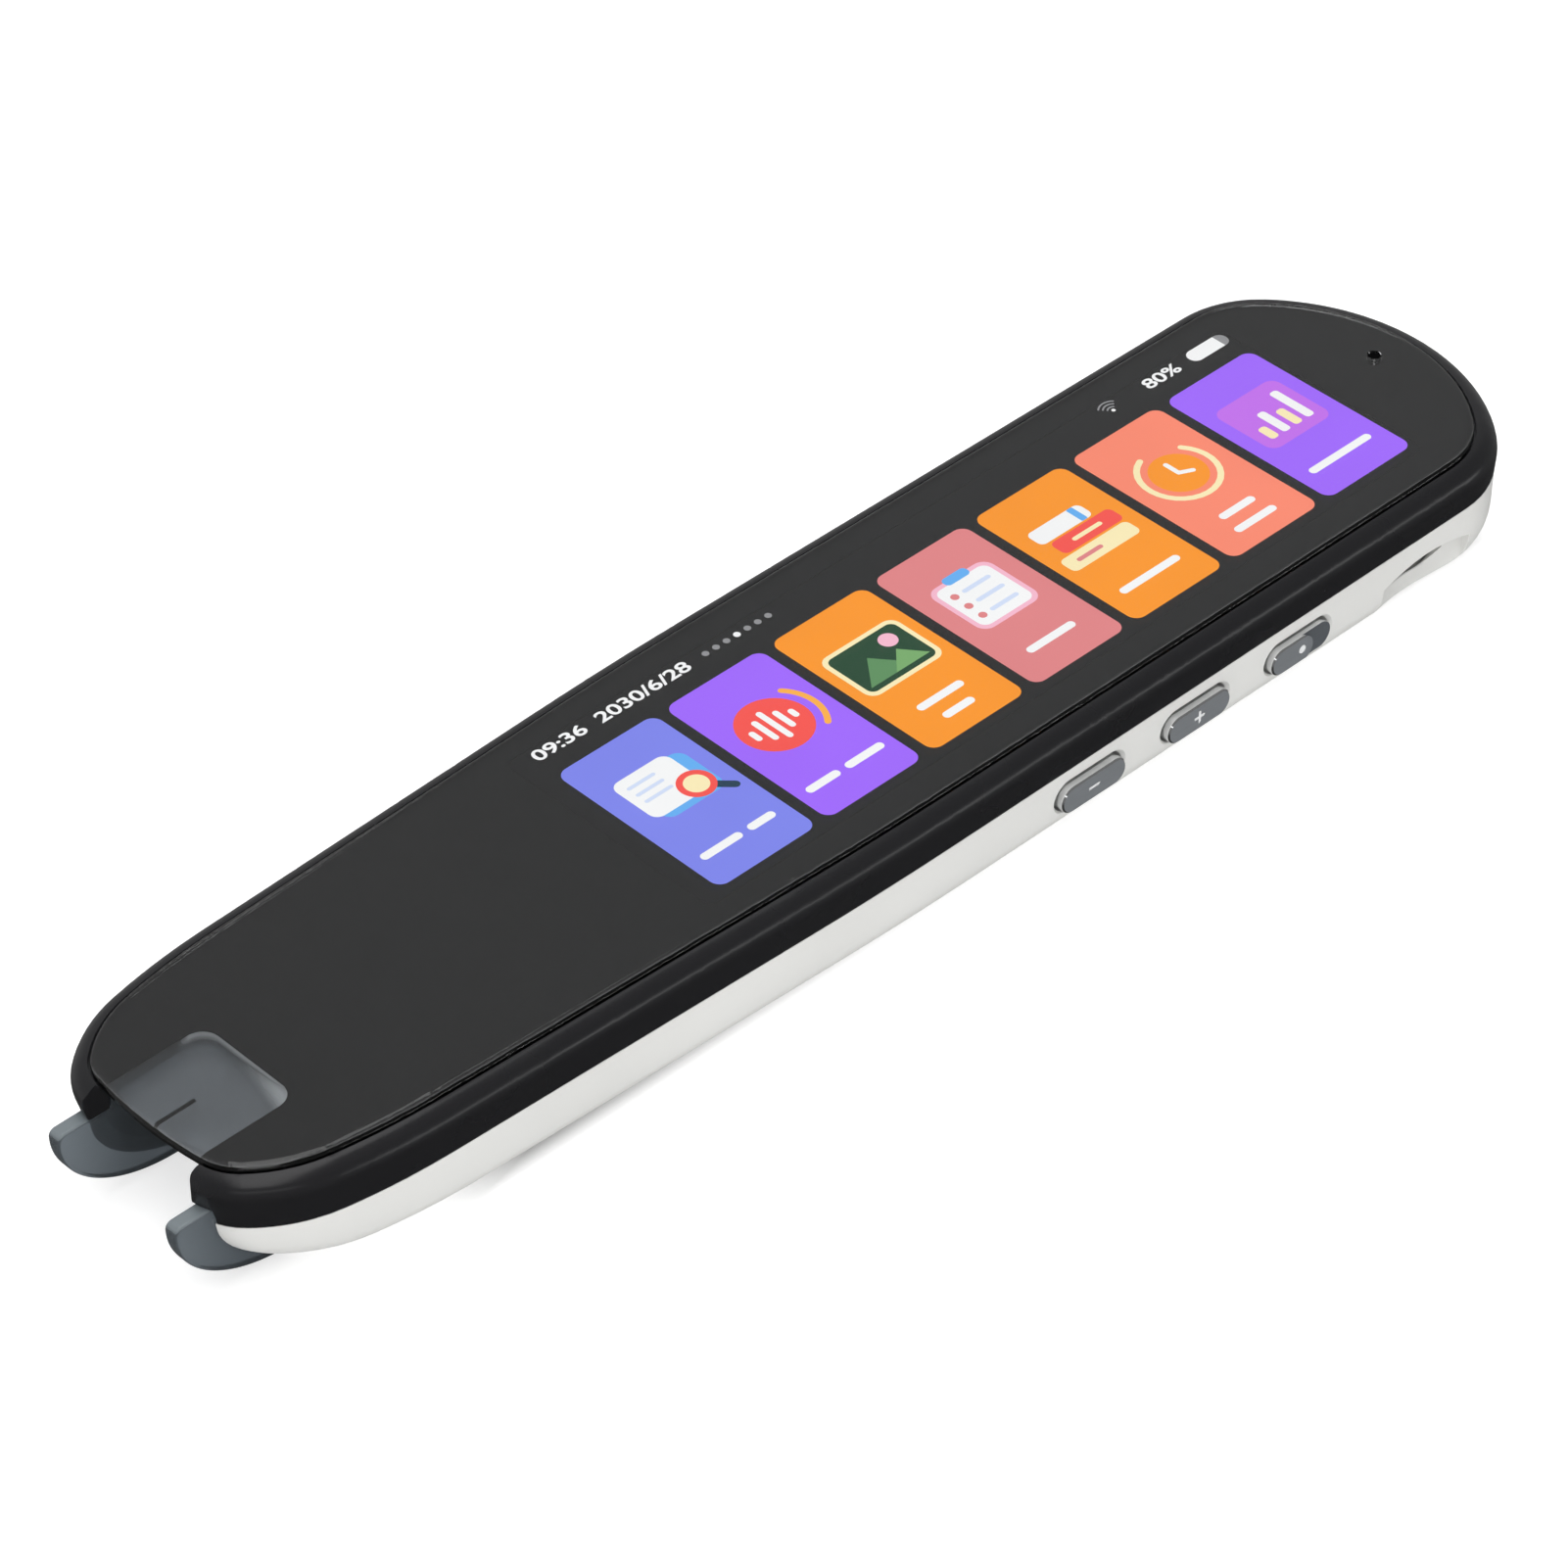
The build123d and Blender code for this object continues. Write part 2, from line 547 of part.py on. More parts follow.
# ---- Display ----
def display_panel():
    """Liquid crystal panel, with its active glass raised into the clear opening."""
    margin = 0.15
    step_z = LEDGE_Z + 0.06
    x_span = (SCREEN_X[0] + margin, SCREEN_X[1] - margin)
    y_span = (SCREEN_Y[0] + margin, SCREEN_Y[1] - margin)
    body = soft_block(PANEL_X, PANEL_Y, (PANEL_Z, step_z), 0.6)
    return body + soft_block(x_span, y_span, (step_z - 0.1, SCREEN_Z), 0.9)


def display_backlight():
    """Light guide and reflector behind the panel."""
    return soft_block((PANEL_X[0] + 1.2, PANEL_X[1]), PANEL_Y, (BACKLIGHT_Z, PANEL_Z), 0.5)


def display_foam():
    """Foam frame that seats the backlight on the frame's plate."""
    z_span = (PLATE_Z + PLATE_THICK, BACKLIGHT_Z)
    ring = block((PANEL_X[0] + 1.2, PANEL_X[1]), PANEL_Y, z_span)
    inner_x = (PANEL_X[0] + 3.2, PANEL_X[1] - 2.0)
    inner_y = (PANEL_Y[0] + 2.0, PANEL_Y[1] - 2.0)
    return ring - block(inner_x, inner_y, (z_span[0] - 1, z_span[1] + 1))


def display_flex():
    """Ribbon folded from the panel's nose end through the plate to the main board."""
    thick = 0.15
    board_top = BOARD_Z + BOARD_THICK
    fold_x = -27.9
    panel_end_x = PANEL_X[0] + 1.0
    outer = [(panel_end_x, PANEL_Z), (fold_x, PANEL_Z), (fold_x, board_top), (-24.5, board_top)]
    inner = [(-24.5, board_top + thick), (fold_x + thick, board_top + thick)]
    inner += [(fold_x + thick, PANEL_Z - thick), (panel_end_x, PANEL_Z - thick)]
    return upright_profile(outer + inner, (-7.0, 7.0))


# ---- Main board and its parts ----
def main_board():
    """Circuit board with the body's plan, screwed to the frame's bosses."""
    z_span = (BOARD_Z, BOARD_Z + BOARD_THICK)
    tall = (z_span[0] - 1, z_span[1] + 1)
    board = slab(LEDGE_HALF_WIDTH + 0.2, z_span)
    board -= block((-80, -48.0), (-20, 20), tall)
    return board - [post(x, y, tall, SCREW_RADIUS + 0.1) for x, y in SCREW_PLACES]


def processor_shield():
    """Stamped can over the processor, with rounded corners and vent holes."""
    top = BOARD_Z + BOARD_THICK
    can = soft_block((-20.0, 1.0), (-9.0, 9.0), (top, top + 1.0), 0.8)
    vents = [post(x, y, (top + 0.6, top + 2), 0.5) for x in (-17, -14, -11) for y in (-6, -3, 0)]
    return can - vents


def thermal_pad():
    """Soft pad that carries the processor's heat into the frame's plate."""
    return block((-8.0, -1.0), (-5.0, 5.0), (BOARD_Z + BOARD_THICK + 1.0, PLATE_Z))


def chip_row(places, z_face, height):
    """Group of chip packages on one side of the board, each given by its (x, y) spans."""
    span = (z_face, z_face + height)
    return Compound([block(x_span, y_span, span) for x_span, y_span in places])


def memory_chips():
    """Working memory and flash storage."""
    top = BOARD_Z + BOARD_THICK
    return chip_row([((6.0, 14.0), (-9.0, -1.0)), ((6.0, 17.5), (1.0, 9.0))], top, 0.9)


def radio_module():
    """Shielded wireless module."""
    return soft_block((20.0, 33.0), (-6.0, 6.0), (BOARD_Z + BOARD_THICK, BOARD_Z + BOARD_THICK + 1.1), 0.5)


def power_chips():
    """Charger, power supply coil and audio chips."""
    top = BOARD_Z + BOARD_THICK
    places = [((37.0, 41.0), (-2.0, 2.0)), ((43.0, 46.0), (3.0, 6.0)), ((43.0, 47.0), (-6.0, -3.0))]
    places += [((56.0, 60.0), (-3.0, 1.0))]
    return chip_row(places, top, 0.85)


def antenna():
    """Flexible aerial film on the inside of the far wall."""
    return block((16.0, 44.0), (15.3, 15.5), (4.9, 7.3))


def board_screws():
    """Six pan-head screws, one drive cross in each."""
    screws = []
    for x, y in SCREW_PLACES:
        head_z = BOARD_Z - SCREW_HEAD_THICK
        screw = post(x, y, (head_z, BOARD_Z), SCREW_HEAD_RADIUS)
        screw += post(x, y, (BOARD_Z, SCREW_TOP_Z), SCREW_RADIUS - 0.02)
        for length, width in ((1.5, 0.35), (0.35, 1.5)):
            x_span = (x - length / 2, x + length / 2)
            screw -= block(x_span, (y - width / 2, y + width / 2), (head_z - 1, head_z + 0.35))
        screws.append(screw)
    return Compound(screws)


# ---- Battery ----
def battery():
    """Flat lithium pouch cell."""
    y_span = (-BATTERY_HALF_WIDTH, BATTERY_HALF_WIDTH)
    cell = block(BATTERY_X, y_span, BATTERY_Z)
    return fillet(cell.edges().filter_by(Axis.X), 1.0)


def battery_tape():
    """Two strips of foam tape that hold the cell to the shell's floor."""
    x_span = (BATTERY_X[0] + 4, BATTERY_X[1] - 4)
    strips = [block(x_span, (low, low + 4), (FLOOR, BATTERY_Z[0])) for low in (-8.0, 4.0)]
    return Compound(strips)


def battery_connector():
    """Plug and socket of the battery lead, under the board."""
    return block((12.0, 15.0), (3.2, 8.8), (6.3, BOARD_Z))


def battery_leads():
    """Three insulated leads from the cell's end to its plug."""
    leads = []
    for y in (4.2, 6.0, 7.8):
        corners = [(BATTERY_X[1], y, 4.2), (10.0, y, 4.2), (10.0, y, 7.0), (12.0, y, 7.0)]
        path = FilletPolyline(*corners, radius=0.9)
        start = Plane(origin=(BATTERY_X[1], y, 4.2), z_dir=(1, 0, 0))
        leads.append(sweep(start * Circle(0.35), path=path))
    return Compound(leads)


# ---- Sound ----
def speaker():
    """Box speaker over the grille."""
    body = soft_block(SPEAKER_X, SPEAKER_Y, SPEAKER_Z, 1.0)
    return body


def speaker_gasket():
    """Foam ring that seals the speaker to the floor."""
    outer = block(SPEAKER_X, SPEAKER_Y, (FLOOR + 0.1, SPEAKER_Z[0]))
    inner_x = (SPEAKER_X[0] + 1.2, SPEAKER_X[1] - 1.2)
    inner_y = (SPEAKER_Y[0] + 1.2, SPEAKER_Y[1] - 1.2)
    return outer - block(inner_x, inner_y, (0, SPEAKER_Z[0] + 1))


def speaker_mesh():
    """Dust mesh over the grille holes."""
    return block(SPEAKER_X, SPEAKER_Y, (FLOOR, FLOOR + 0.1))


def microphone():
    """Microphone on the board under the hole in the glass."""
    top = BOARD_Z + BOARD_THICK
    return block((MIC_X - 1.4, MIC_X + 1.4), (-1.9, 1.9), (top, top + 1.0))


def microphone_gasket():
    """Rubber tube that leads sound from the glass down to the microphone."""
    z_span = (BOARD_Z + BOARD_THICK + 1.0, LEDGE_Z + 0.09)
    return post(MIC_X, 0, z_span, 1.6) - post(MIC_X, 0, (z_span[0] - 1, z_span[1] + 1), MIC_HOLE_RADIUS)


def usb_receptacle():
    """Charging and data port: a drawn steel sleeve with its contact tongue and back wall."""
    plane = Plane(origin=(PORT_X[0], 0, PORT_Z), x_dir=(0, 1, 0), z_dir=(1, 0, 0))
    length = PORT_X[1] - PORT_X[0]
    sleeve = extrude(plane * SlotOverall(PORT_WIDTH, PORT_HEIGHT), amount=length)
    mouth = extrude(plane * SlotOverall(PORT_WIDTH - 0.6, PORT_HEIGHT - 0.6), amount=length + 1)
    back = block((PORT_X[0], PORT_X[0] + 1.2), (-4.0, 4.0), (PORT_Z - 1.2, PORT_Z + 1.2))
    tongue = block((PORT_X[0], PORT_X[1] - 0.8), (-3.3, 3.3), (PORT_Z - 0.35, PORT_Z + 0.35))
    return sleeve - mouth + back + tongue


# ---- Optics behind the scan head ----
def optics_chassis():
    """Black housing of the camera and its lamps, open through a slanted front."""
    hollow_half = CHASSIS_HALF_WIDTH - CHASSIS_WALL
    housing = upright_profile(CHASSIS_PROFILE, (-CHASSIS_HALF_WIDTH, CHASSIS_HALF_WIDTH))
    housing -= upright_profile(CHASSIS_HOLLOW, (-hollow_half, hollow_half))
    housing -= block((-66.0, -58.0), (-4.6, 4.6), CHASSIS_MOUTH_Z)
    return housing - block((-55.0, -53.0), (-2.6, 2.6), (8.6, 9.4))


def optics_window():
    """Clear slanted pane bonded behind the chassis's mouth."""
    (foot_x, foot_z), (head_x, head_z) = CHASSIS_HOLLOW[0], CHASSIS_HOLLOW[-1]
    lean = (head_x - foot_x) / (head_z - foot_z)
    bond = 0.03
    front = [(foot_x + lean * (z - foot_z) + bond, z) for z in PANE_Z]
    back = [(x + PANE_THICK, z) for x, z in reversed(front)]
    return upright_profile(front + back, (-5.2, 5.2))


def camera_axis():
    """Frame of the tilted camera: its own +Z looks forward and down through the mouth."""
    return Pos(*CAMERA_PLACE) * Rot(0, -90 - CAMERA_TILT, 0)


def camera_module():
    """Camera body with its sensor."""
    return camera_axis() * Box(3.6, 5.6, 2.4)


def camera_lens():
    """Lens barrel with a dished front."""
    barrel = Pos(0, 0, 1.9) * Cylinder(1.3, 1.4)
    dish = Pos(0, 0, 4.4) * Sphere(2.0)
    return camera_axis() * (barrel - dish)


def camera_flex():
    """Ribbon from the camera out of the chassis to the board."""
    thick = 0.15
    board_top = BOARD_Z + BOARD_THICK
    bend_x = -47.2
    run_z = 9.1
    under = [(-56.2, run_z), (bend_x, run_z), (bend_x, board_top), (-45.0, board_top)]
    over = [(-45.0, board_top + thick), (bend_x + thick, board_top + thick)]
    over += [(bend_x + thick, run_z + thick), (-56.2, run_z + thick)]
    return upright_profile(under + over, (-2.4, 2.4))


def light_board():
    """Narrow circuit board with the lamps, under the chassis roof."""
    return block((-59.0, -57.4), (-4.8, 4.8), (9.7, 10.2))


def light_leds():
    """Two white lamps that light the line being read."""
    return chip_row([((-58.9, -57.5), (y - 0.9, y + 0.9)) for y in (-3.4, 3.4)], 9.2, 0.5)


# ---- Switches behind the buttons ----
def button_switches():
    """Three side-acting switches, one behind each button."""
    return Compound([block((x - 1.75, x + 1.75), SWITCH_Y, (3.9, 6.7)) for x in BUTTON_X.values()])


def button_flex():
    """Flexible circuit that carries the switches."""
    return block((11.0, 49.0), (SWITCH_Y[1], SWITCH_Y[1] + BUTTON_FLEX_THICK), (3.2, 7.2))


def button_bracket():
    """Steel strip behind the flexible circuit, standing on a folded foot."""
    face_y = SWITCH_Y[1] + BUTTON_FLEX_THICK
    strip = block((10.0, 50.0), (face_y, face_y + BRACKET_THICK), (FLOOR, 7.2))
    foot = block((10.0, 27.0), (face_y, face_y + 4.0), (FLOOR, FLOOR + BRACKET_THICK))
    return strip + foot


def tip_switch():
    """Switch on the board's nose end that the sliding head presses."""
    body = block((-49.0, -46.2), (-1.8, 1.8), (6.3, BOARD_Z))
    nub = Pos(-49.27, 0, 6.9) * Rot(0, 90, 0) * Cylinder(0.6, 0.56)
    return body + nub


# ---- Moving scan head ----
def foot_face():
    """Side outline of a foot: blunt tip, round sole, and the part that rises inside the frame."""
    low = FOOT_CENTRE_Z - FOOT_DROP
    tip = (FOOT_CENTRE_X - FOOT_REACH, FOOT_CENTRE_Z)
    brow_end = (tip[0] + 0.7, FOOT_TOP_Z)
    sole_place = (FOOT_CENTRE_X, FOOT_CENTRE_Z)
    sole = EllipticalCenterArc(sole_place, FOOT_REACH, FOOT_DROP, start_angle=180, arc_size=90)
    corners = [(FOOT_CENTRE_X, low), (FOOT_HEEL_X, low), (FOOT_HEEL_X, low + FOOT_LIFT)]
    corners += [(HEAD_BACK_X, low + FOOT_LIFT), (HEAD_BACK_X, HEAD_TOP_Z)]
    corners += [(FOOT_STEP_X, HEAD_TOP_Z), (FOOT_STEP_X, FOOT_TOP_Z), brow_end]
    brow = ThreePointArc(brow_end, (tip[0] + 0.2, FOOT_TOP_Z - 0.23), tip)
    return make_face([sole, Polyline(*corners), brow])


def foot():
    """Button-side foot, with its edges rounded where it stands out of the nose."""
    slab_foot = side_prism(foot_face(), 0, 0, (-FOOT_INNER - FOOT_THICK, -FOOT_INNER))
    bare = [edge for edge in slab_foot.edges() if edge.center().X < FOOT_STEP_X]
    return fillet([edge for edge in bare if edge.bounding_box().size.Y < 0.1], FOOT_ROUND)


def window_recess():
    """Hollow in the roof below the scan window, open at the nose."""
    y_span = (-RECESS_HALF_WIDTH, RECESS_HALF_WIDTH)
    return soft_block((BROW_X[0] - 5, RECESS_BACK_X), y_span, (RECESS_Z, HEAD_TOP_Z + 1), WINDOW_RADIUS)


def recess_ramp():
    """Slope that climbs from the recess's floor to its tail wall, and widens to the button side."""
    bite = 0.2
    beyond = 0.6
    top = RAMP_RISE * (RAMP_RUN + beyond) / RAMP_RUN
    points = [(-RAMP_RUN, 0), (beyond, top), (beyond, -bite), (-RAMP_RUN, -bite)]
    wedge = upright_profile(points, (-2.0, 2 * RECESS_HALF_WIDTH))
    wedge = Pos(RECESS_BACK_X, -RECESS_HALF_WIDTH, RECESS_Z) * Rot(0, 0, -RAMP_TURN) * wedge
    inside_x = (RECESS_BACK_X - 2 * RAMP_RUN, RECESS_BACK_X + bite / 2)
    inside_y = (-RECESS_HALF_WIDTH - bite / 2, RECESS_HALF_WIDTH)
    return wedge & block(inside_x, inside_y, (RECESS_Z - bite, HEAD_TOP_Z - bite / 2))


def scan_head():
    """Smoked clear nose piece: two feet joined by a hollowed roof under the glass."""
    front = [(BROW_X[0], HEAD_TOP_Z), (BROW_X[1], ROOF_LOW_Z), (ROOF_BACK_X, ROOF_LOW_Z)]
    back = [(ROOF_BACK_X, RECESS_Z), (HEAD_BACK_X, RECESS_Z), (HEAD_BACK_X, HEAD_TOP_Z)]
    roof = upright_profile(front + back, (-FOOT_INNER, FOOT_INNER))
    side_gap = (FOOT_INNER - HEAD_FRONT_GAP, FOOT_INNER + 1)
    roof -= both_sides(block((BROW_X[0] - 1, FOOT_STEP_X), side_gap, (ROOF_LOW_Z - 1, HEAD_TOP_Z + 1)))
    roof -= window_recess()
    return roof + recess_ramp() + both_sides(foot())


def head_carrier():
    """Arms that run back past the optics to a crossbar on the return springs."""
    arm = block((HEAD_BACK_X, CARRIER_BACK_X), (FOOT_INNER, FOOT_INNER + FOOT_THICK), (3.0, 9.0))
    reach = FOOT_INNER + FOOT_THICK
    bar_x = (CARRIER_BACK_X - CROSSBAR_THICK, CARRIER_BACK_X)
    bar = block(bar_x, (-reach, reach), (2.0, 6.5)) + block(bar_x, (-1.5, 1.5), (6.5, 7.4))
    return bar + both_sides(arm)


def head_springs():
    """Two light compression springs behind the crossbar."""
    length = SPRING_STOP_X - CARRIER_BACK_X - 2 * SPRING_WIRE_RADIUS
    coil_path = Helix(pitch=length / SPRING_TURNS, height=length, radius=SPRING_RADIUS)
    start = Plane(origin=coil_path @ 0, z_dir=coil_path % 0)
    coil = sweep(start * Circle(SPRING_WIRE_RADIUS), path=coil_path, is_frenet=True)
    first_x = CARRIER_BACK_X + SPRING_WIRE_RADIUS
    return Compound([Pos(first_x, y, SPRING_Z) * Rot(0, 90, 0) * coil for y in (-SPRING_Y, SPRING_Y)])


# ---- Side buttons ----
def sign_face(place):
    """Outline of the sign sunk in a button: bar, plus or dot."""
    if place == "rear":
        return Circle(SIGN_RADIUS)
    lying = Rectangle(SIGN_LENGTH, SIGN_WIDTH)
    return lying + Rectangle(SIGN_WIDTH, SIGN_LENGTH) if place == "middle" else lying


def button_cap(place, x):
    """Pill cap with a flange that keeps it in its slot; the rear one is lower on its tail side."""
    cap = side_prism(SlotOverall(CAP_LENGTH, CAP_HEIGHT), x, BUTTON_Z, (CAP_FACE_Y, FLANGE_Y[0]))
    front = cap.faces().sort_by(Axis.Y)[0]
    cap = chamfer(front.edges(), CAP_BEVEL)
    if place == "rear":
        step_y = (CAP_FACE_Y - 1, CAP_FACE_Y + STEP_DEPTH)
        pad_x = x - (CAP_LENGTH - PAD_LENGTH) / 2
        pad = side_prism(SlotOverall(PAD_LENGTH, CAP_HEIGHT), pad_x, BUTTON_Z, step_y)
        cap -= block((x, x + CAP_LENGTH), step_y, (BUTTON_Z - CAP_HEIGHT, BUTTON_Z + CAP_HEIGHT)) - pad
    cap -= side_prism(sign_face(place), x, BUTTON_Z, (CAP_FACE_Y - 1, CAP_FACE_Y + SIGN_DEPTH))
    return cap + side_prism(SlotOverall(FLANGE_LENGTH, FLANGE_HEIGHT), x, BUTTON_Z, FLANGE_Y)


def button_plunger(x):
    """Short pin between the cap and its switch."""
    y_span = (FLANGE_Y[1], PLUNGER_END_Y)
    return side_prism(Circle(0.9), x, BUTTON_Z, y_span)


NODES = {
    "rear_shell": rear_shell,
    "front_frame": front_frame,
    "cover_glass": cover_glass,
    "cover_ink": cover_ink,
    "aiming_line": aiming_line,
    "glass_adhesive": glass_adhesive,
    "display_panel": display_panel,
    "display_backlight": display_backlight,
    "display_foam": display_foam,
    "display_flex": display_flex,
    "main_board": main_board,
    "processor_shield": processor_shield,
    "thermal_pad": thermal_pad,
    "memory_chips": memory_chips,
    "radio_module": radio_module,
    "power_chips": power_chips,
    "antenna": antenna,
    "board_screws": board_screws,
    "battery": battery,
    "battery_tape": battery_tape,
    "battery_connector": battery_connector,
    "battery_leads": battery_leads,
    "speaker": speaker,
    "speaker_gasket": speaker_gasket,
    "speaker_mesh": speaker_mesh,
    "microphone": microphone,
    "microphone_gasket": microphone_gasket,
    "usb_receptacle": usb_receptacle,
    "optics_chassis": optics_chassis,
    "optics_window": optics_window,
    "camera_module": camera_module,
    "camera_lens": camera_lens,
    "camera_flex": camera_flex,
    "light_board": light_board,
    "light_leds": light_leds,
    "button_switches": button_switches,
    "button_flex": button_flex,
    "button_bracket": button_bracket,
    "tip_switch": tip_switch,
    "scan_head": scan_head,
    "head_carrier": head_carrier,
    "head_springs": head_springs,
}

for node, make in NODES.items():
    export_step(make(), f"parts/{node}.step")

for place, x in BUTTON_X.items():
    export_step(button_cap(place, x), f"parts/{place}_button_cap.step")
    export_step(button_plunger(x), f"parts/{place}_button_plunger.step")
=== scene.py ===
import json
import math

import bmesh
import bpy
from mathutils import Euler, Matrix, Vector


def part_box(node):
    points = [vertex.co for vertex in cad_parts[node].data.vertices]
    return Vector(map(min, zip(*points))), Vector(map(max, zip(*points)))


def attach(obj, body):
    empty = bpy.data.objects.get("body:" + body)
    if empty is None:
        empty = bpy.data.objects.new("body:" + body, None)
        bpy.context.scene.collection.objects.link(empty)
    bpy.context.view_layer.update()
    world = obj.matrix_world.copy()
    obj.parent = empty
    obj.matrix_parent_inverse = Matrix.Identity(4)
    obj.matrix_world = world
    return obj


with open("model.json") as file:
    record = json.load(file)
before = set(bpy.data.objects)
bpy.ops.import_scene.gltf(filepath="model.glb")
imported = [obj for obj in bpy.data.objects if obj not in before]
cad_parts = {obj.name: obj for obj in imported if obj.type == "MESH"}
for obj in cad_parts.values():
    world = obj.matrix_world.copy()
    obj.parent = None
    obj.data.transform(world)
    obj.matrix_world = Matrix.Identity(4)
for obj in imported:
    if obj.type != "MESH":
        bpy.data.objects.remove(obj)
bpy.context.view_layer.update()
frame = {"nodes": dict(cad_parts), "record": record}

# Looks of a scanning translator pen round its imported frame. Lengths are in millimetres
# where a name ends in _MM or a function says so, and in metres everywhere else.
# +X runs from the scanning nose to the tail, +Z out of the display, -Y to the buttons.

MM = 0.001

# ---- Camera and studio ----
CAMERA_PLACE = (-0.26524, -0.26955, 0.32804)
CAMERA_DOWN = 40.548
CAMERA_HEADING = -44.149
FOCAL_PIXELS = 5897.0
IMAGE_SIDE = 1601.0
SENSOR_WIDTH = 36.0
CLIP_START = 0.01

# The floor's glow fades out under the pen, between these distances from its patch's centre.
UNLIT_CENTRE_X = 0.01
UNLIT_X = (0.052, 0.064)
UNLIT_Y = (0.0122, 0.0147)
FLOOR_REACH = 3.0
FLOOR_DROP = 0.00002
FLOOR_GLOW = 0.68

# ---- Display art, in millimetres on the screen ----
CARD_PITCH_MM = 12.5
CARD_FIRST_MM = (-16.1, -1.12)
CARD_SIZE_MM = (11.3, 19.96)
CARD_RADIUS_MM = 1.1
ICON_LIFT_MM = 1.87
ICON_SCALE = 1.22
LABEL_DROP_MM = 6.3
LABEL_LINE_GAP_MM = 2.2
LABEL_WORD_GAP_MM = 0.8
LABEL_BAR_HEIGHT_MM = 0.85
INK_THICK_MM = 0.006
LAYER_STEP_MM = 0.008
INK_GAP_MM = 0.004

# Status row: each group of figures has its left end and its width.
STATUS_Y_MM = 11.75
DIGIT_HEIGHT_MM = 1.44
CLOCK_SPAN_MM = (-21.6, 5.8)
DATE_SPAN_MM = (-14.3, 10.6)
CHARGE_SPAN_MM = (53.7, 4.4)
WEEK_DOT_FIRST_MM = -1.6
WEEK_DOT_STEP_MM = 1.25
WEEK_DOT_RADIUS_MM = 0.34
WEEK_DAYS = 7
WEEK_DAY_LIT = 3
WIRELESS_X_MM = 49.0
WIRELESS_FOOT_MM = 0.62
WIRELESS_RADII_MM = (0.62, 1.04, 1.46)
PILL_X_MM = 62.14
PILL_SIZE_MM = (5.0, 1.7)
PILL_RADIUS_MM = 0.84
PILL_CHARGE_END_MM = 63.64

# Inlays in the signs sunk in the button caps.
SIGN_FLOOR_MM = 0.079
SIGN_THICK_MM = 0.05
SIGN_CROSSING_MM = 0.01
SIGN_BAR_MM = (1.34, 0.28)
SIGN_DOT_RADIUS_MM = 0.42

# How squarely a button's outside faces the hand, and the depth of the rear button's step.
BUTTON_FACING = (-0.97, -0.9)
BUTTON_STEP_MM = (0.15, 0.25)

# Where the scan head's smoke changes colour: at its roof and the rim above that by height, with painted
# shade along the feet by length, a painted highlight on the ramp behind the window by length, and
# painted light on brows facing up.
ROOF_MM = (10.0, 10.6)
RIM_MM = (11.3, 12.0)
RAMP_HIGHLIGHT_X_MM = (-65.4, -64.2)
FOOT_SHADE_X_MM = (-77.0, -70.5)
BROW_LIGHT_FACING = (0.3, 0.7)
SMOKE_CLEAR = 0.7
SMOKE_DULL = 0.15

# Painted shade inside the strap slot, in a box from its low to its high corner.
SLOT_SHADE_BOX_MM = ((57.8, -14.9, 2.4), (64.8, -10.5, 5.9))

# Dust mesh in the hole over the microphone, black as painted shade for the hole.
MESH_X_MM = 71.9
MESH_RADIUS_MM = 0.62
MESH_Z_MM = (12.75, 13.3)

# The glass passes this share of the display's light and mirrors this much of the studio.
GLASS_PASSES = 0.89
GLASS_MIRRORS = 0.04


def linear(colour):
    """Scene-linear colour of an sRGB one given as 0 to 255."""
    shares = [part / 255.0 for part in colour]
    return tuple(s / 12.92 if s <= 0.04045 else ((s + 0.055) / 1.055) ** 2.4 for s in shares)


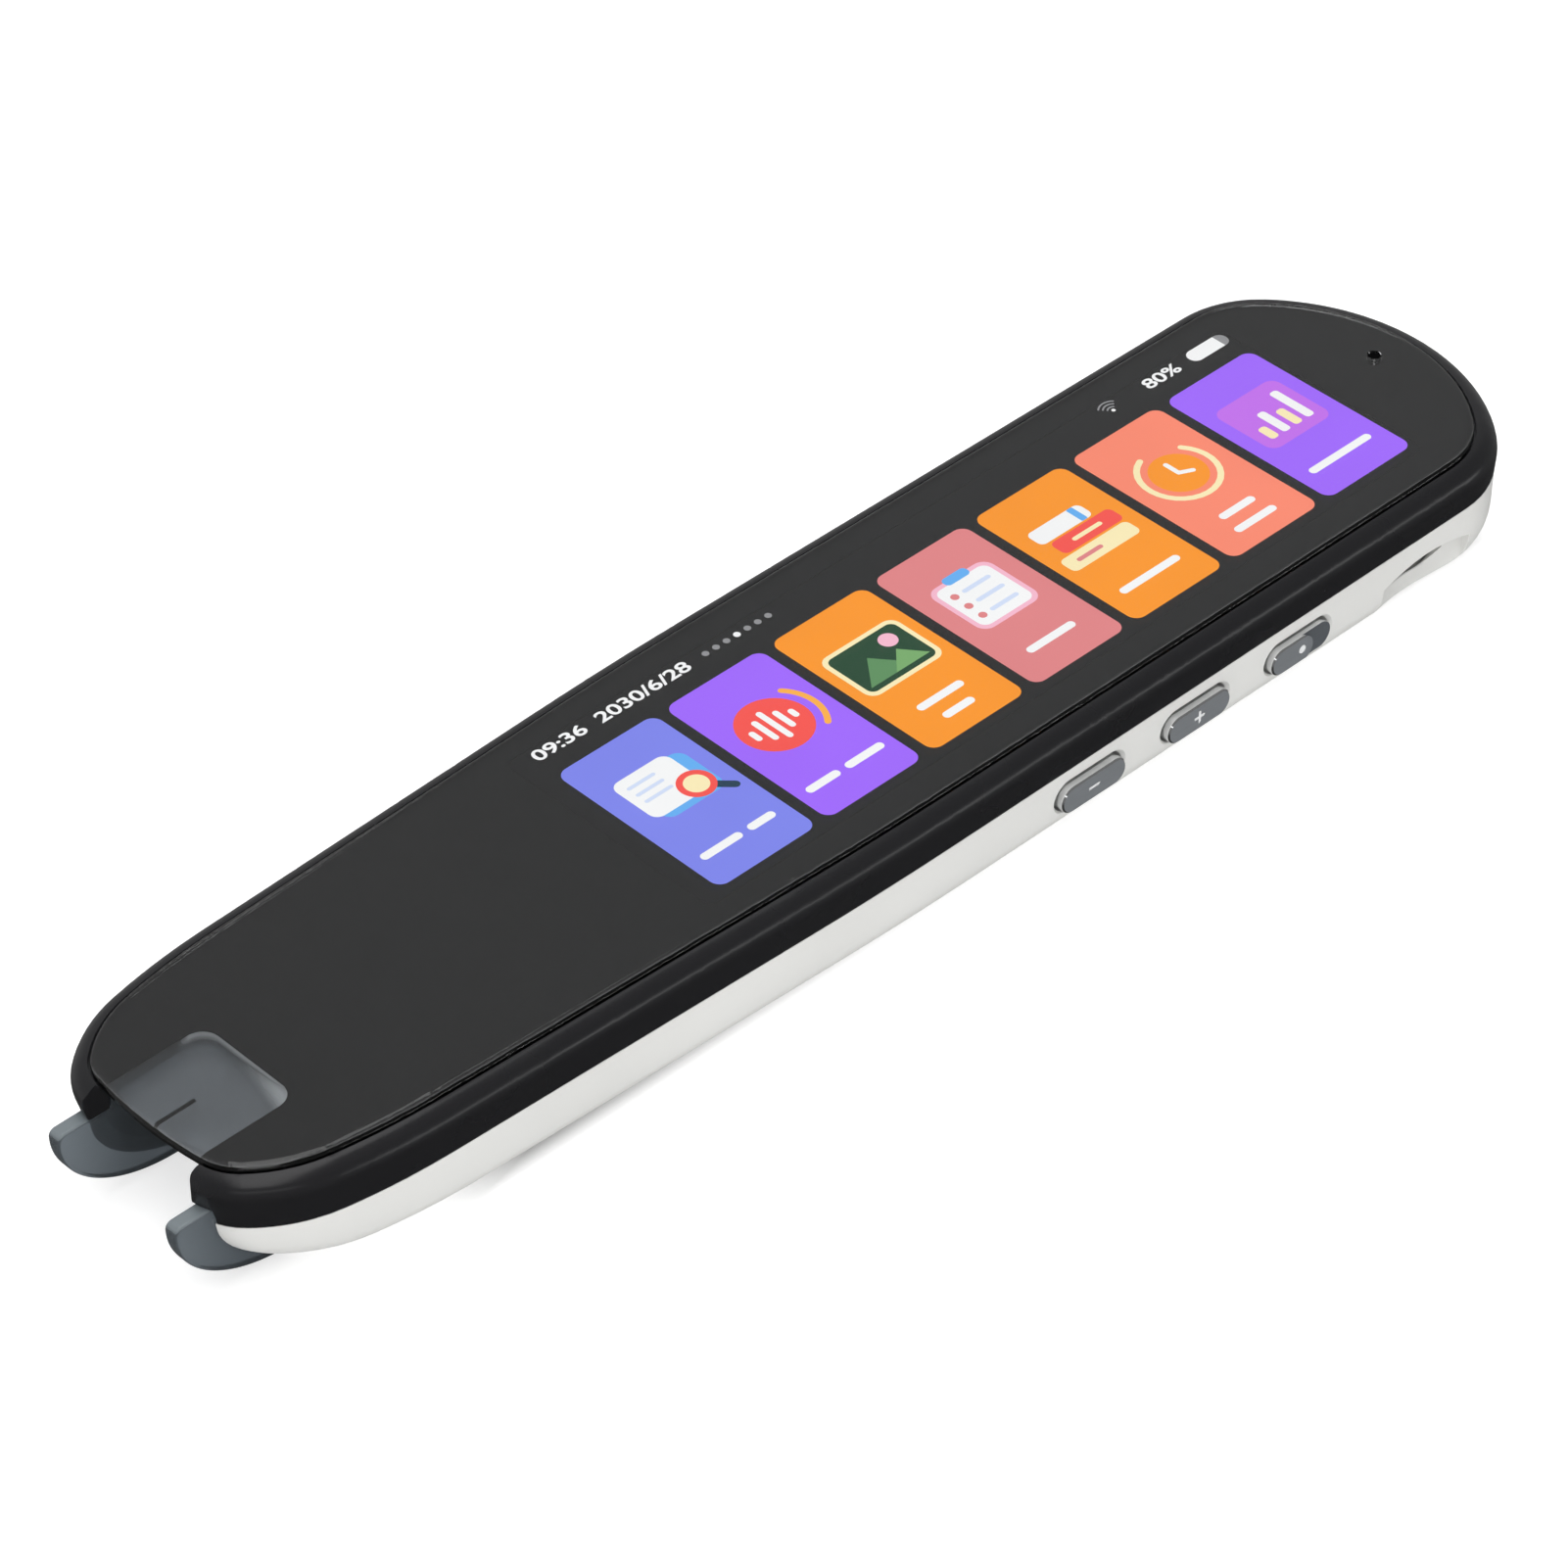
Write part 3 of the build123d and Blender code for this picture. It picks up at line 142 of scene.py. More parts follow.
# ---- Materials ----
class Look:
    """Node material round one Principled shader, with textures in the piece's own metres."""

    def __init__(self, name, colour, roughness, **sockets):
        self.material = bpy.data.materials.new(name)
        self.material.use_nodes = True
        tree = self.material.node_tree
        self.nodes = tree.nodes
        self.links = tree.links
        self.shader = self.nodes["Principled BSDF"]
        self.colour = (*colour, 1.0)
        self.roughness = roughness
        self.shader.inputs["Base Color"].default_value = self.colour
        self.shader.inputs["Roughness"].default_value = roughness
        for socket, value in sockets.items():
            self.shader.inputs[socket.replace("_", " ")].default_value = value
        self.place = self.nodes.new("ShaderNodeTexCoord").outputs["Object"]

    def noise(self, size, detail=2.0, stretch=(1.0, 1.0, 1.0)):
        """Noise with blobs about `size` metres across, drawn out along the axes in `stretch`."""
        mapping = self.nodes.new("ShaderNodeMapping")
        mapping.inputs["Scale"].default_value = [1.0 / (size * s) for s in stretch]
        texture = self.nodes.new("ShaderNodeTexNoise")
        texture.inputs["Scale"].default_value = 1.0
        texture.inputs["Detail"].default_value = detail
        self.links.new(self.place, mapping.inputs["Vector"])
        self.links.new(mapping.outputs["Vector"], texture.inputs["Vector"])
        return texture.outputs["Fac"]

    def ranged(self, source, low, high, start=0.3, end=0.7):
        """Source between start and end, mapped to low and high."""
        node = self.nodes.new("ShaderNodeMapRange")
        values = {"From Min": start, "From Max": end, "To Min": low, "To Max": high}
        for socket, value in values.items():
            node.inputs[socket].default_value = value
        self.links.new(source, node.inputs["Value"])
        return node.outputs["Result"]

    def between(self, length, limits_mm):
        """0 before the first of two places in millimetres, and 1 after the second."""
        return self.ranged(length, 0.0, 1.0, limits_mm[0] * MM, limits_mm[1] * MM)

    def combine(self, operation, first, second):
        """Result of a Math node on two shares."""
        node = self.nodes.new("ShaderNodeMath")
        node.operation = operation
        self.links.new(first, node.inputs[0])
        self.links.new(second, node.inputs[1])
        return node.outputs["Value"]

    def both(self, first, second):
        return self.combine("MULTIPLY", first, second)

    def either(self, first, second):
        return self.combine("MAXIMUM", first, second)

    def split(self, vector):
        """Outputs X, Y and Z of a vector."""
        node = self.nodes.new("ShaderNodeSeparateXYZ")
        self.links.new(vector, node.inputs["Vector"])
        return node.outputs

    def facing(self):
        """Outputs X, Y and Z of the direction that the surface faces."""
        return self.split(self.nodes.new("ShaderNodeNewGeometry").outputs["Normal"])

    def inside(self, box_mm, edge_mm=0.3):
        """1 inside a box given by its corners in millimetres, fading to 0 just within its faces."""
        place = self.split(self.place)
        share = None
        for axis, low, high in zip("XYZ", *box_mm):
            rising = self.between(place[axis], (low, low + edge_mm))
            falling = self.ranged(place[axis], 1.0, 0.0, (high - edge_mm) * MM, high * MM)
            along = self.both(rising, falling)
            share = self.both(share, along) if share else along
        return share

    def blend(self, share, first, second):
        """Colour between two, each a colour or a socket."""
        node = self.nodes.new("ShaderNodeMix")
        node.data_type = "RGBA"
        self.links.new(share, node.inputs["Factor"])
        for socket, value in ((node.inputs[6], first), (node.inputs[7], second)):
            if isinstance(value, bpy.types.NodeSocket):
                self.links.new(value, socket)
            else:
                socket.default_value = (*value[:3], 1.0)
        return node.outputs[2]

    def mottle(self, size, shade, socket="Base Color"):
        """Slow change of the colour towards a darker shade of itself."""
        share = self.ranged(self.noise(size), 0.0, 1.0)
        darker = [part * shade for part in self.colour[:3]]
        self.links.new(self.blend(share, self.colour, darker), self.shader.inputs[socket])
        return self

    def smudge(self, size, change, stretch=(1.0, 1.0, 1.0)):
        """Roughness that wanders by `change` either way."""
        low = max(0.0, self.roughness - change)
        rough = self.ranged(self.noise(size, 3.0, stretch), low, self.roughness + change)
        self.links.new(rough, self.shader.inputs["Roughness"])
        return self

    def bump(self, source, depth):
        """Relief of `depth` metres from a 0 to 1 source."""
        node = self.nodes.new("ShaderNodeBump")
        node.inputs["Strength"].default_value = 1.0
        node.inputs["Distance"].default_value = depth
        self.links.new(source, node.inputs["Height"])
        self.links.new(node.outputs["Normal"], self.shader.inputs["Normal"])
        return self

    def grain(self, size, depth, stretch=(1.0, 1.0, 1.0)):
        """Fine moulded or brushed relief."""
        return self.bump(self.noise(size, 2.0, stretch), depth)


def moulded(name, colour, roughness, grain_size, grain_depth, **sockets):
    """Moulded plastic: slow colour drift, uneven gloss and a spark-eroded grain."""
    look = Look(name, colour, roughness, **sockets)
    return look.mottle(0.02, 0.95).smudge(0.012, 0.03).grain(grain_size, grain_depth).material


def shell_white():
    """White plastic with a satin gloss, with painted shade deep in the strap slot."""
    look = Look("shell_white", linear((235, 235, 232)), 0.36, Coat_Weight=0.1)
    look.mottle(0.02, 0.95).smudge(0.012, 0.03).grain(0.0004, 0.0000008)
    white = look.shader.inputs["Base Color"].links[0].from_socket
    # Painted shade: dark grey inside the strap slot, where little light reaches.
    tint = look.blend(look.inside(SLOT_SHADE_BOX_MM), white, linear((46, 46, 48)))
    look.links.new(tint, look.shader.inputs["Base Color"])
    return look.material


def frame_black():
    return moulded("frame_black", linear((28, 28, 30)), 0.26, 0.0005, 0.0000002, Specular_IOR_Level=0.45)


def chassis_black():
    return moulded("chassis_black", linear((14, 14, 15)), 0.6, 0.0003, 0.000004)


def connector():
    return moulded("connector", linear((236, 232, 214)), 0.4, 0.0003, 0.000002)


def tape():
    return moulded("tape", linear((30, 30, 31)), 0.85, 0.0002, 0.00002)


def silicone():
    look = Look("silicone", linear((26, 27, 29)), 0.6)
    return look.mottle(0.004, 0.8).smudge(0.001, 0.08).material


def leads():
    look = Look("leads", linear((186, 26, 22)), 0.42)
    return look.mottle(0.003, 0.8).grain(0.0005, 0.00001, (6.0, 1.0, 1.0)).material


def chip():
    """Moulded packages with a fine matt grain."""
    look = Look("chip", linear((34, 34, 36)), 0.55)
    return look.mottle(0.002, 0.8).smudge(0.001, 0.1).grain(0.00012, 0.000004).material


def steel():
    """Stamped steel with rolling lines along the pen."""
    look = Look("steel", linear((188, 190, 194)), 0.28, Metallic=1.0)
    return look.mottle(0.006, 0.85).smudge(0.0008, 0.08, (12.0, 1.0, 1.0)).material


def cell_foil():
    """Creased silver laminate of a pouch cell."""
    look = Look("cell_foil", linear((196, 198, 200)), 0.32, Metallic=1.0)
    return look.smudge(0.004, 0.1).grain(0.006, 0.0001).material


def flex():
    """Amber film over copper tracks that run along it."""
    look = Look("flex", linear((190, 120, 40)), 0.35)
    tracks = look.noise(0.0006, 0.0, (60.0, 1.0, 60.0))
    copper = linear((150, 84, 34))
    amber = linear((200, 136, 56))
    tint = look.blend(look.ranged(tracks, 0.0, 1.0, 0.48, 0.52), copper, amber)
    look.links.new(tint, look.shader.inputs["Base Color"])
    return look.smudge(0.003, 0.08).bump(tracks, 0.00002).material


def board():
    """Green solder mask over a maze of tracks."""
    look = Look("board", linear((20, 92, 56)), 0.3)
    cells = look.nodes.new("ShaderNodeTexVoronoi")
    cells.distance = "MANHATTAN"
    cells.feature = "DISTANCE_TO_EDGE"
    cells.inputs["Scale"].default_value = 700.0
    look.links.new(look.place, cells.inputs["Vector"])
    share = look.ranged(cells.outputs["Distance"], 0.0, 1.0, 0.1, 0.16)
    tint = look.blend(share, linear((44, 128, 78)), linear((14, 74, 44)))
    look.links.new(tint, look.shader.inputs["Base Color"])
    return look.bump(share, 0.00002).material


def light_guide():
    """Milky sheet with a lattice of extraction dots."""
    look = Look("light_guide", linear((238, 240, 240)), 0.35)
    dots = look.nodes.new("ShaderNodeTexVoronoi")
    dots.inputs["Scale"].default_value = 1400.0
    dots.inputs["Randomness"].default_value = 0.0
    look.links.new(look.place, dots.inputs["Vector"])
    share = look.ranged(dots.outputs["Distance"], 0.0, 1.0, 0.25, 0.32)
    tint = look.blend(share, linear((250, 250, 250)), linear((214, 220, 224)))
    look.links.new(tint, look.shader.inputs["Base Color"])
    return look.material


def display():
    """Switched-off area of the panel: laminated, so it hardly mirrors."""
    look = Look("display", linear((9, 9, 11)), 0.5, Specular_IOR_Level=0.0)
    return look.mottle(0.01, 0.7).smudge(0.004, 0.05).material


def ink_black():
    look = Look("ink_black", linear((10, 10, 11)), 0.6, Specular_IOR_Level=0.0)
    return look.mottle(0.012, 0.8).smudge(0.002, 0.05).material


def lamp():
    """White lamps with a pale phosphor."""
    look = Look("lamp", linear((250, 246, 214)), 0.4)
    return look.mottle(0.0006, 0.85).material


def lens():
    look = Look("lens", linear((24, 26, 40)), 0.05, Coat_Weight=1.0)
    return look.mottle(0.002, 0.7).smudge(0.001, 0.02).material


def cover_glass():
    """Clear strengthened glass with faint finger marks."""
    look = Look("cover_glass", (0.97, 0.98, 0.985), 0.02, Transmission_Weight=1.0, IOR=1.5)
    return look.smudge(0.03, 0.006).material


def smoke():
    """Smoked clear plastic: frosted grey, with painted shade deeper towards the body, a painted
    highlight on the ramp and painted light on the brows.
    """
    look = Look("smoke", linear((120, 128, 134)), 0.2, Transmission_Weight=SMOKE_CLEAR, IOR=1.49)
    place = look.split(look.place)
    # Painted shade: the smoke darkens towards the body, where the feet lie in shade.
    inwards_shade = look.between(place["X"], FOOT_SHADE_X_MM)
    roof = look.between(place["Z"], ROOF_MM)
    rim = look.between(place["Z"], RIM_MM)
    # Painted highlight: the ramp behind the window is pale, as though lit.
    ramp = look.both(rim, look.between(place["X"], RAMP_HIGHLIGHT_X_MM))
    below_roof = look.ranged(roof, 1.0, 0.0, 0.0, 1.0)
    # Painted light: faces of the feet turned upwards are paler, as though lit from above.
    brow_light = look.both(look.ranged(look.facing()["Z"], 0.0, 1.0, *BROW_LIGHT_FACING), below_roof)
    tint = look.blend(inwards_shade, look.colour, linear((94, 101, 107)))
    tint = look.blend(roof, tint, linear((98, 104, 110)))
    tint = look.blend(rim, tint, linear((84, 88, 92)))
    tint = look.blend(ramp, tint, linear((176, 180, 182)))
    tint = look.blend(brow_light, tint, linear((122, 130, 134)))
    look.links.new(tint, look.shader.inputs["Base Color"])
    # The smoke is less clear under the painted highlight and painted light, so they show.
    clear = look.ranged(look.either(ramp, brow_light), SMOKE_CLEAR, SMOKE_DULL, 0.0, 1.0)
    look.links.new(clear, look.shader.inputs["Transmission Weight"])
    return look.smudge(0.012, 0.03).material


def button_metal():
    """Satin grey pressed face inside a polished rim."""
    look = Look("button_metal", linear((150, 156, 162)), 0.1)
    on_face = look.ranged(look.facing()["Y"], 1.0, 0.0, *BUTTON_FACING)
    brushed = look.noise(0.0002, 2.0, (30.0, 1.0, 1.0))
    rough = look.nodes.new("ShaderNodeMix")
    look.links.new(on_face, rough.inputs["Factor"])
    rough.inputs["A"].default_value = 0.1
    look.links.new(look.ranged(brushed, 0.34, 0.44), rough.inputs["B"])
    look.links.new(rough.outputs["Result"], look.shader.inputs["Roughness"])
    look.links.new(look.ranged(on_face, 1.0, 0.25, 0.0, 1.0), look.shader.inputs["Metallic"])
    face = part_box("front_button_cap")[0].y
    step = [face + depth * MM for depth in BUTTON_STEP_MM]
    sunk = look.ranged(look.split(look.place)["Y"], 0.0, 1.0, *step)
    grey = look.blend(sunk, linear((134, 138, 142)), linear((98, 103, 108)))
    tint = look.blend(on_face, linear((240, 241, 242)), grey)
    look.links.new(tint, look.shader.inputs["Base Color"])
    return look.material


SLOT_LOOKS = [shell_white, frame_black, chassis_black, connector, tape, silicone, leads, chip, steel]
SLOT_LOOKS += [cell_foil, flex, board, light_guide, display, ink_black, lamp, lens, cover_glass, smoke]
SLOT_LOOKS += [button_metal]


def dress_nodes():
    """Every CAD node takes the look of its material slot."""
    looks = {make.__name__: make() for make in SLOT_LOOKS}
    for part in frame["record"]["subparts"]:
        node = frame["nodes"][part["node"]]
        for holder in node.material_slots:
            holder.material = looks[part["material_slot"]]
    frame["nodes"]["cover_glass"].visible_shadow = False
    return looks


# ---- Flat shapes, as closed rings of (x, y) points in millimetres ----
def turn(centre, radius, start, end, steps=12):
    """Points of an arc, angles in degrees."""
    points = []
    for step in range(steps + 1):
        angle = math.radians(start + (end - start) * step / steps)
        points.append((centre[0] + radius * math.cos(angle), centre[1] + radius * math.sin(angle)))
    return points


def soft_box(centre, size, radius):
    """Rectangle with round corners."""
    half_x = size[0] / 2 - radius
    half_y = size[1] / 2 - radius
    points = []
    for quarter, (side_x, side_y) in enumerate([(1, 1), (-1, 1), (-1, -1), (1, -1)]):
        corner = (centre[0] + side_x * half_x, centre[1] + side_y * half_y)
        points += turn(corner, radius, quarter * 90, quarter * 90 + 90, 6)
    return points


def bar(centre, length, height):
    """Pill lying along X."""
    return soft_box(centre, (length, height), height / 2 * 0.999)


def disc(centre, radius):
    return turn(centre, radius, 0, 360, 40)[:-1]


def stroke(start, end, width):
    """Straight line with round ends."""
    angle = math.degrees(math.atan2(end[1] - start[1], end[0] - start[0]))
    half = width / 2
    return turn(end, half, angle - 90, angle + 90, 6) + turn(start, half, angle + 90, angle + 270, 6)


def band(centre, radius, width, start, end):
    """Bent stroke along an arc, with round ends."""
    outer = turn(centre, radius + width / 2, start, end, 24)
    inner = turn(centre, radius - width / 2, end, start, 24)
    tip = turn(turn(centre, radius, end, end, 1)[0], width / 2, end, end + 180, 6)[1:-1]
    heel = turn(turn(centre, radius, start, start, 1)[0], width / 2, start + 180, start + 360, 6)[1:-1]
    return outer + tip + inner + heel


# ---- Solid pieces ----
def link_piece(name, mesh, body="body"):
    """Object for a mesh, riding on a body."""
    piece = bpy.data.objects.new(name, mesh)
    bpy.context.scene.collection.objects.link(piece)
    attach(piece, body)
    return piece


def plate(work, points, low, high, material_index=0):
    """Closed flat solid with that outline, in millimetres, between two heights."""
    bottom = [work.verts.new((x * MM, y * MM, low * MM)) for x, y in points]
    top = [work.verts.new((x * MM, y * MM, high * MM)) for x, y in points]
    faces = [work.faces.new(top), work.faces.new(list(reversed(bottom)))]
    for index in range(len(points)):
        after = (index + 1) % len(points)
        faces.append(work.faces.new((bottom[index], bottom[after], top[after], top[index])))
    for face in faces:
        face.material_index = material_index


def finish_mesh(work, name, materials):
    """Mesh data of a bmesh, with its faces turned outwards."""
    bmesh.ops.recalc_face_normals(work, faces=work.faces)
    mesh = bpy.data.meshes.new(name)
    work.to_mesh(mesh)
    work.free()
    for material in materials:
        mesh.materials.append(material)
    return mesh


# ---- Display art ----
def glow(name, colour):
    """Lit pixels of one colour, with the backlight's slow unevenness."""
    wanted = [max(0.0, part - GLASS_MIRRORS) / GLASS_PASSES for part in linear(colour)]
    look = Look(name, (0.0, 0.0, 0.0), 0.6, Specular_IOR_Level=0.0, Emission_Strength=1.0)
    look.colour = (*wanted, 1.0)
    return look.mottle(0.009, 0.965, "Emission Color").material


PALETTE = {
    "periwinkle": (133, 140, 239),
    "violet": (165, 112, 255),
    "orange": (255, 157, 60),
    "rose": (228, 139, 141),
    "coral": (255, 145, 120),
    "white": (250, 250, 250),
    "mist": (214, 226, 250),
    "sky": (110, 180, 245),
    "red": (250, 96, 90),
    "amber": (255, 180, 84),
    "cream": (255, 240, 190),
    "pine": (48, 84, 66),
    "leaf": (104, 150, 104),
    "meadow": (128, 176, 116),
    "slate": (52, 76, 92),
    "pink": (250, 190, 210),
    "lilac": (200, 120, 240),
    "grey": (150, 150, 152),
}
CARD_COLOURS = ["periwinkle", "violet", "orange", "rose", "orange", "coral", "violet"]


# Each icon is a list of (outline, colour, layer), where a higher layer may lie on a lower one.
def page_icon():
    """Page under a reading glass."""
    shapes = [(soft_box((0.5, 0.2), (5.6, 5.0), 0.9), "sky", 0)]
    shapes.append((soft_box((-0.3, 0.7), (5.2, 4.8), 0.8), "white", 1))
    shapes += [(bar((-0.9, y), 2.6, 0.32), "mist", 2) for y in (2.0, 1.1, 0.2)]
    shapes.append((stroke((2.5, -1.6), (3.6, -2.7), 0.7), "slate", 2))
    shapes.append((disc((1.7, -0.8), 1.45), "red", 3))
    shapes.append((disc((1.7, -0.8), 0.95), "cream", 4))
    return shapes


def voice_icon():
    """Sound level bars on a disc."""
    shapes = [(band((0.0, 0.0), 3.5, 0.5, -42, 42), "amber", 0), (disc((-0.3, 0.0), 2.9), "red", 0)]
    heights = (1.2, 2.6, 3.6, 2.2, 1.0)
    for index, height in enumerate(heights):
        x = -0.3 + (index - 2) * 0.92
        shapes.append((stroke((x, -height / 2 + 0.25), (x, height / 2 - 0.25), 0.5), "white", 1))
    return shapes


def picture_icon():
    """Framed hills under a round sun."""
    shapes = [(soft_box((0.0, 0.0), (7.4, 5.6), 0.9), "cream", 0)]
    shapes.append((soft_box((0.0, 0.0), (6.6, 4.8), 0.6), "pine", 1))
    shapes.append(([(-2.9, -1.9), (1.3, -1.9), (-0.8, 0.7)], "leaf", 2))
    shapes.append(([(-0.4, -1.9), (2.9, -1.9), (1.4, 0.0)], "meadow", 3))
    shapes.append((disc((1.7, 1.1), 0.75), "pink", 2))
    return shapes


def note_icon():
    """Clip board with a ticked list."""
    shapes = [(soft_box((0.0, -0.1), (6.0, 6.0), 1.0), "pink", 0)]
    shapes.append((soft_box((0.0, -0.1), (5.2, 5.2), 0.7), "white", 1))
    shapes.append((soft_box((0.0, 2.8), (2.4, 0.9), 0.4), "sky", 2))
    for y in (1.2, -0.2, -1.6):
        shapes.append((disc((-1.7, y), 0.34), "rose", 2))
        shapes.append((bar((0.5, y), 2.8, 0.4), "mist", 2))
    return shapes


def shelf_icon():
    """Pile of three volumes."""
    shapes = [(soft_box((-0.2, -2.0), (7.0, 1.7), 0.5), "cream", 0)]
    shapes.append((soft_box((0.4, -0.1), (6.2, 1.7), 0.5), "red", 0))
    shapes.append((soft_box((-0.5, 1.8), (5.4, 1.7), 0.5), "white", 0))
    shapes += [(bar((-1.3, -2.0), 2.6, 0.4), "rose", 1), (bar((0.4, -0.1), 3.0, 0.4), "cream", 1)]
    shapes.append((soft_box((1.3, 1.8), (0.6, 1.7), 0.1), "sky", 1))
    return shapes


def clock_icon():
    """Dial with two hands inside an open ring."""
    shapes = [(disc((0.0, 0.0), 2.3), "orange", 0), (band((0.0, 0.0), 3.1, 0.5, 110, 400), "cream", 0)]
    shapes.append((stroke((0.0, 0.0), (0.0, 1.3), 0.42), "white", 1))
    shapes.append((stroke((0.0, 0.0), (1.0, -0.5), 0.42), "white", 2))
    return shapes


def chart_icon():
    """Columns of a progress chart."""
    shapes = [(soft_box((0.0, 0.0), (6.6, 6.2), 0.9), "lilac", 0)]
    columns = [(-1.9, 1.6, "cream"), (-0.6, 2.9, "white"), (0.7, 2.2, "cream"), (2.0, 4.0, "white")]
    for x, height, colour in columns:
        shapes.append((soft_box((x, height / 2 - 2.1), (0.8, height), 0.3), colour, 1))
    return shapes


ICONS = [page_icon, voice_icon, picture_icon, note_icon, shelf_icon, clock_icon, chart_icon]
LABELS = [[(4.6, 3.0)], [(3.8, 4.4)], [(5.4,), (3.6,)], [(5.8,)], [(7.4,)], [(4.4,), (5.2,)], [(8.0,)]]


def label_shapes(lines):
    """Blank label: each line is a row of plain bars of the given lengths."""
    shapes = []
    for row, lengths in enumerate(lines):
        y = -LABEL_DROP_MM + ((len(lines) - 1) / 2 - row) * LABEL_LINE_GAP_MM
        left = -(sum(lengths) + LABEL_WORD_GAP_MM * (len(lengths) - 1)) / 2
        for length in lengths:
            shapes.append((bar((left + length / 2, y), length, LABEL_BAR_HEIGHT_MM), "white", 0))
            left += length + LABEL_WORD_GAP_MM
    return shapes


def screen_top_mm():
    """Height at which the lit prints start, just clear of the panel."""
    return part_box("display_panel")[1].z / MM + INK_GAP_MM


def art_piece(name, shapes, glows, base_mm, shift=(0.0, 0.0), scale=1.0):
    """One mesh of flat glowing shapes, given as (outline, colour, layer)."""
    used = sorted({colour for _, colour, _ in shapes})
    work = bmesh.new()
    for outline, colour, layer in shapes:
        low = base_mm + layer * LAYER_STEP_MM
        moved = [(x * scale + shift[0], y * scale + shift[1]) for x, y in outline]
        plate(work, moved, low, low + INK_THICK_MM, used.index(colour))
    return link_piece(name, finish_mesh(work, name, [glows[colour] for colour in used]))


def screen_cards(glows):
    """Seven coloured cards, each with a pictogram and a blank label."""
    base = screen_top_mm()
    for index, (colour, icon, lines) in enumerate(zip(CARD_COLOURS, ICONS, LABELS)):
        centre = (CARD_FIRST_MM[0] + index * CARD_PITCH_MM, CARD_FIRST_MM[1])
        face = soft_box((0.0, 0.0), CARD_SIZE_MM, CARD_RADIUS_MM)
        art_piece(f"card_{index + 1}", [(face, colour, 0)], glows, base, centre)
        middle = (centre[0], centre[1] + ICON_LIFT_MM)
        art_piece(f"icon_{index + 1}", icon(), glows, base + LAYER_STEP_MM, middle, ICON_SCALE)
        art_piece(f"label_{index + 1}", label_shapes(lines), glows, base + LAYER_STEP_MM, centre)


def number_piece(name, text, left_mm, width_mm, material):
    """Plain figures on the status row, fitted to a width."""
    curve = bpy.data.curves.new(name, "FONT")
    curve.body = text
    curve.offset = 0.02
    curve.extrude = 0.01
    source = bpy.data.objects.new(name, curve)
    bpy.context.scene.collection.objects.link(source)
    bpy.context.view_layer.update()
    mesh = bpy.data.meshes.new_from_object(source.evaluated_get(bpy.context.evaluated_depsgraph_get()))
    bpy.data.objects.remove(source)
    low = Vector([min(v.co[axis] for v in mesh.vertices) for axis in range(3)])
    high = Vector([max(v.co[axis] for v in mesh.vertices) for axis in range(3)])
    size = high - low
    targets = (width_mm, DIGIT_HEIGHT_MM, INK_THICK_MM)
    corner = (left_mm, STATUS_Y_MM - DIGIT_HEIGHT_MM / 2, screen_top_mm())
    for vertex in mesh.vertices:
        share = [(vertex.co[axis] - low[axis]) / size[axis] for axis in range(3)]
        vertex.co = [(corner[axis] + share[axis] * targets[axis]) * MM for axis in range(3)]
    mesh.materials.clear()
    mesh.materials.append(material)
    return link_piece(name, mesh)


def status_row(glows):
    """Clock, date, week dots, wireless sign, charge figure and battery pill."""
    base = screen_top_mm()
    number_piece("clock_figures", "09:36", *CLOCK_SPAN_MM, glows["white"])
    number_piece("date_figures", "2030/6/28", *DATE_SPAN_MM, glows["white"])
    number_piece("charge_figures", "80%", *CHARGE_SPAN_MM, glows["white"])
    dots = []
    for day in range(WEEK_DAYS):
        colour = "white" if day == WEEK_DAY_LIT else "grey"
        centre = (WEEK_DOT_FIRST_MM + day * WEEK_DOT_STEP_MM, STATUS_Y_MM)
        dots.append((disc(centre, WEEK_DOT_RADIUS_MM), colour, 0))
    art_piece("week_dots", dots, glows, base)
    foot = (WIRELESS_X_MM, STATUS_Y_MM - WIRELESS_FOOT_MM)
    waves = [(disc((foot[0], foot[1] + 0.1), 0.2), "white", 0)]
    for radius in WIRELESS_RADII_MM:
        waves.append((band(foot, radius, 0.17, 48, 132), "grey", 0))
    art_piece("wireless_sign", waves, glows, base)
    pill = soft_box((PILL_X_MM, STATUS_Y_MM), PILL_SIZE_MM, PILL_RADIUS_MM)
    charge = [(min(x, PILL_CHARGE_END_MM), y) for x, y in pill]
    art_piece("battery_pill", [(pill, "grey", 0), (charge, "white", 1)], glows, base)


# ---- Microphone mesh ----
def microphone_shade_mesh(material):
    """Black dust mesh in the hole over the microphone, a little below the glass; its black paints the
    hole's shade.
    """
    work = bmesh.new()
    plate(work, disc((MESH_X_MM, 0.0), MESH_RADIUS_MM), *MESH_Z_MM)
    link_piece("microphone_shade_mesh", finish_mesh(work, "microphone_shade_mesh", [material]), "body")


# ---- Button signs ----
def button_signs():
    """Bright inlay in the sign sunk in each cap: bar, plus and dot."""
    look = Look("sign_bright", linear((245, 246, 247)), 0.3)
    bright = look.mottle(0.0004, 0.92).smudge(0.0003, 0.05).material
    line = bar((0.0, 0.0), *SIGN_BAR_MM)
    dot = disc((0.0, 0.0), SIGN_DOT_RADIUS_MM)
    signs = {"front_button": [line], "middle_button": [line, line], "rear_button": [dot]}
    for body, shapes in signs.items():
        low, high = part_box(body + "_cap")
        centre = (low + high) / 2
        work = bmesh.new()
        for index, outline in enumerate(shapes):
            turned = [(y, x) for x, y in outline] if index else outline
            low_mm = index * SIGN_CROSSING_MM
            plate(work, turned, low_mm, low_mm + SIGN_THICK_MM)
        for vertex in work.verts:
            x, y, z = vertex.co
            vertex.co = (centre.x + x, low.y + SIGN_FLOOR_MM * MM - z, centre.z + y)
        link_piece(body + "_sign", finish_mesh(work, body + "_sign", [bright]), body)


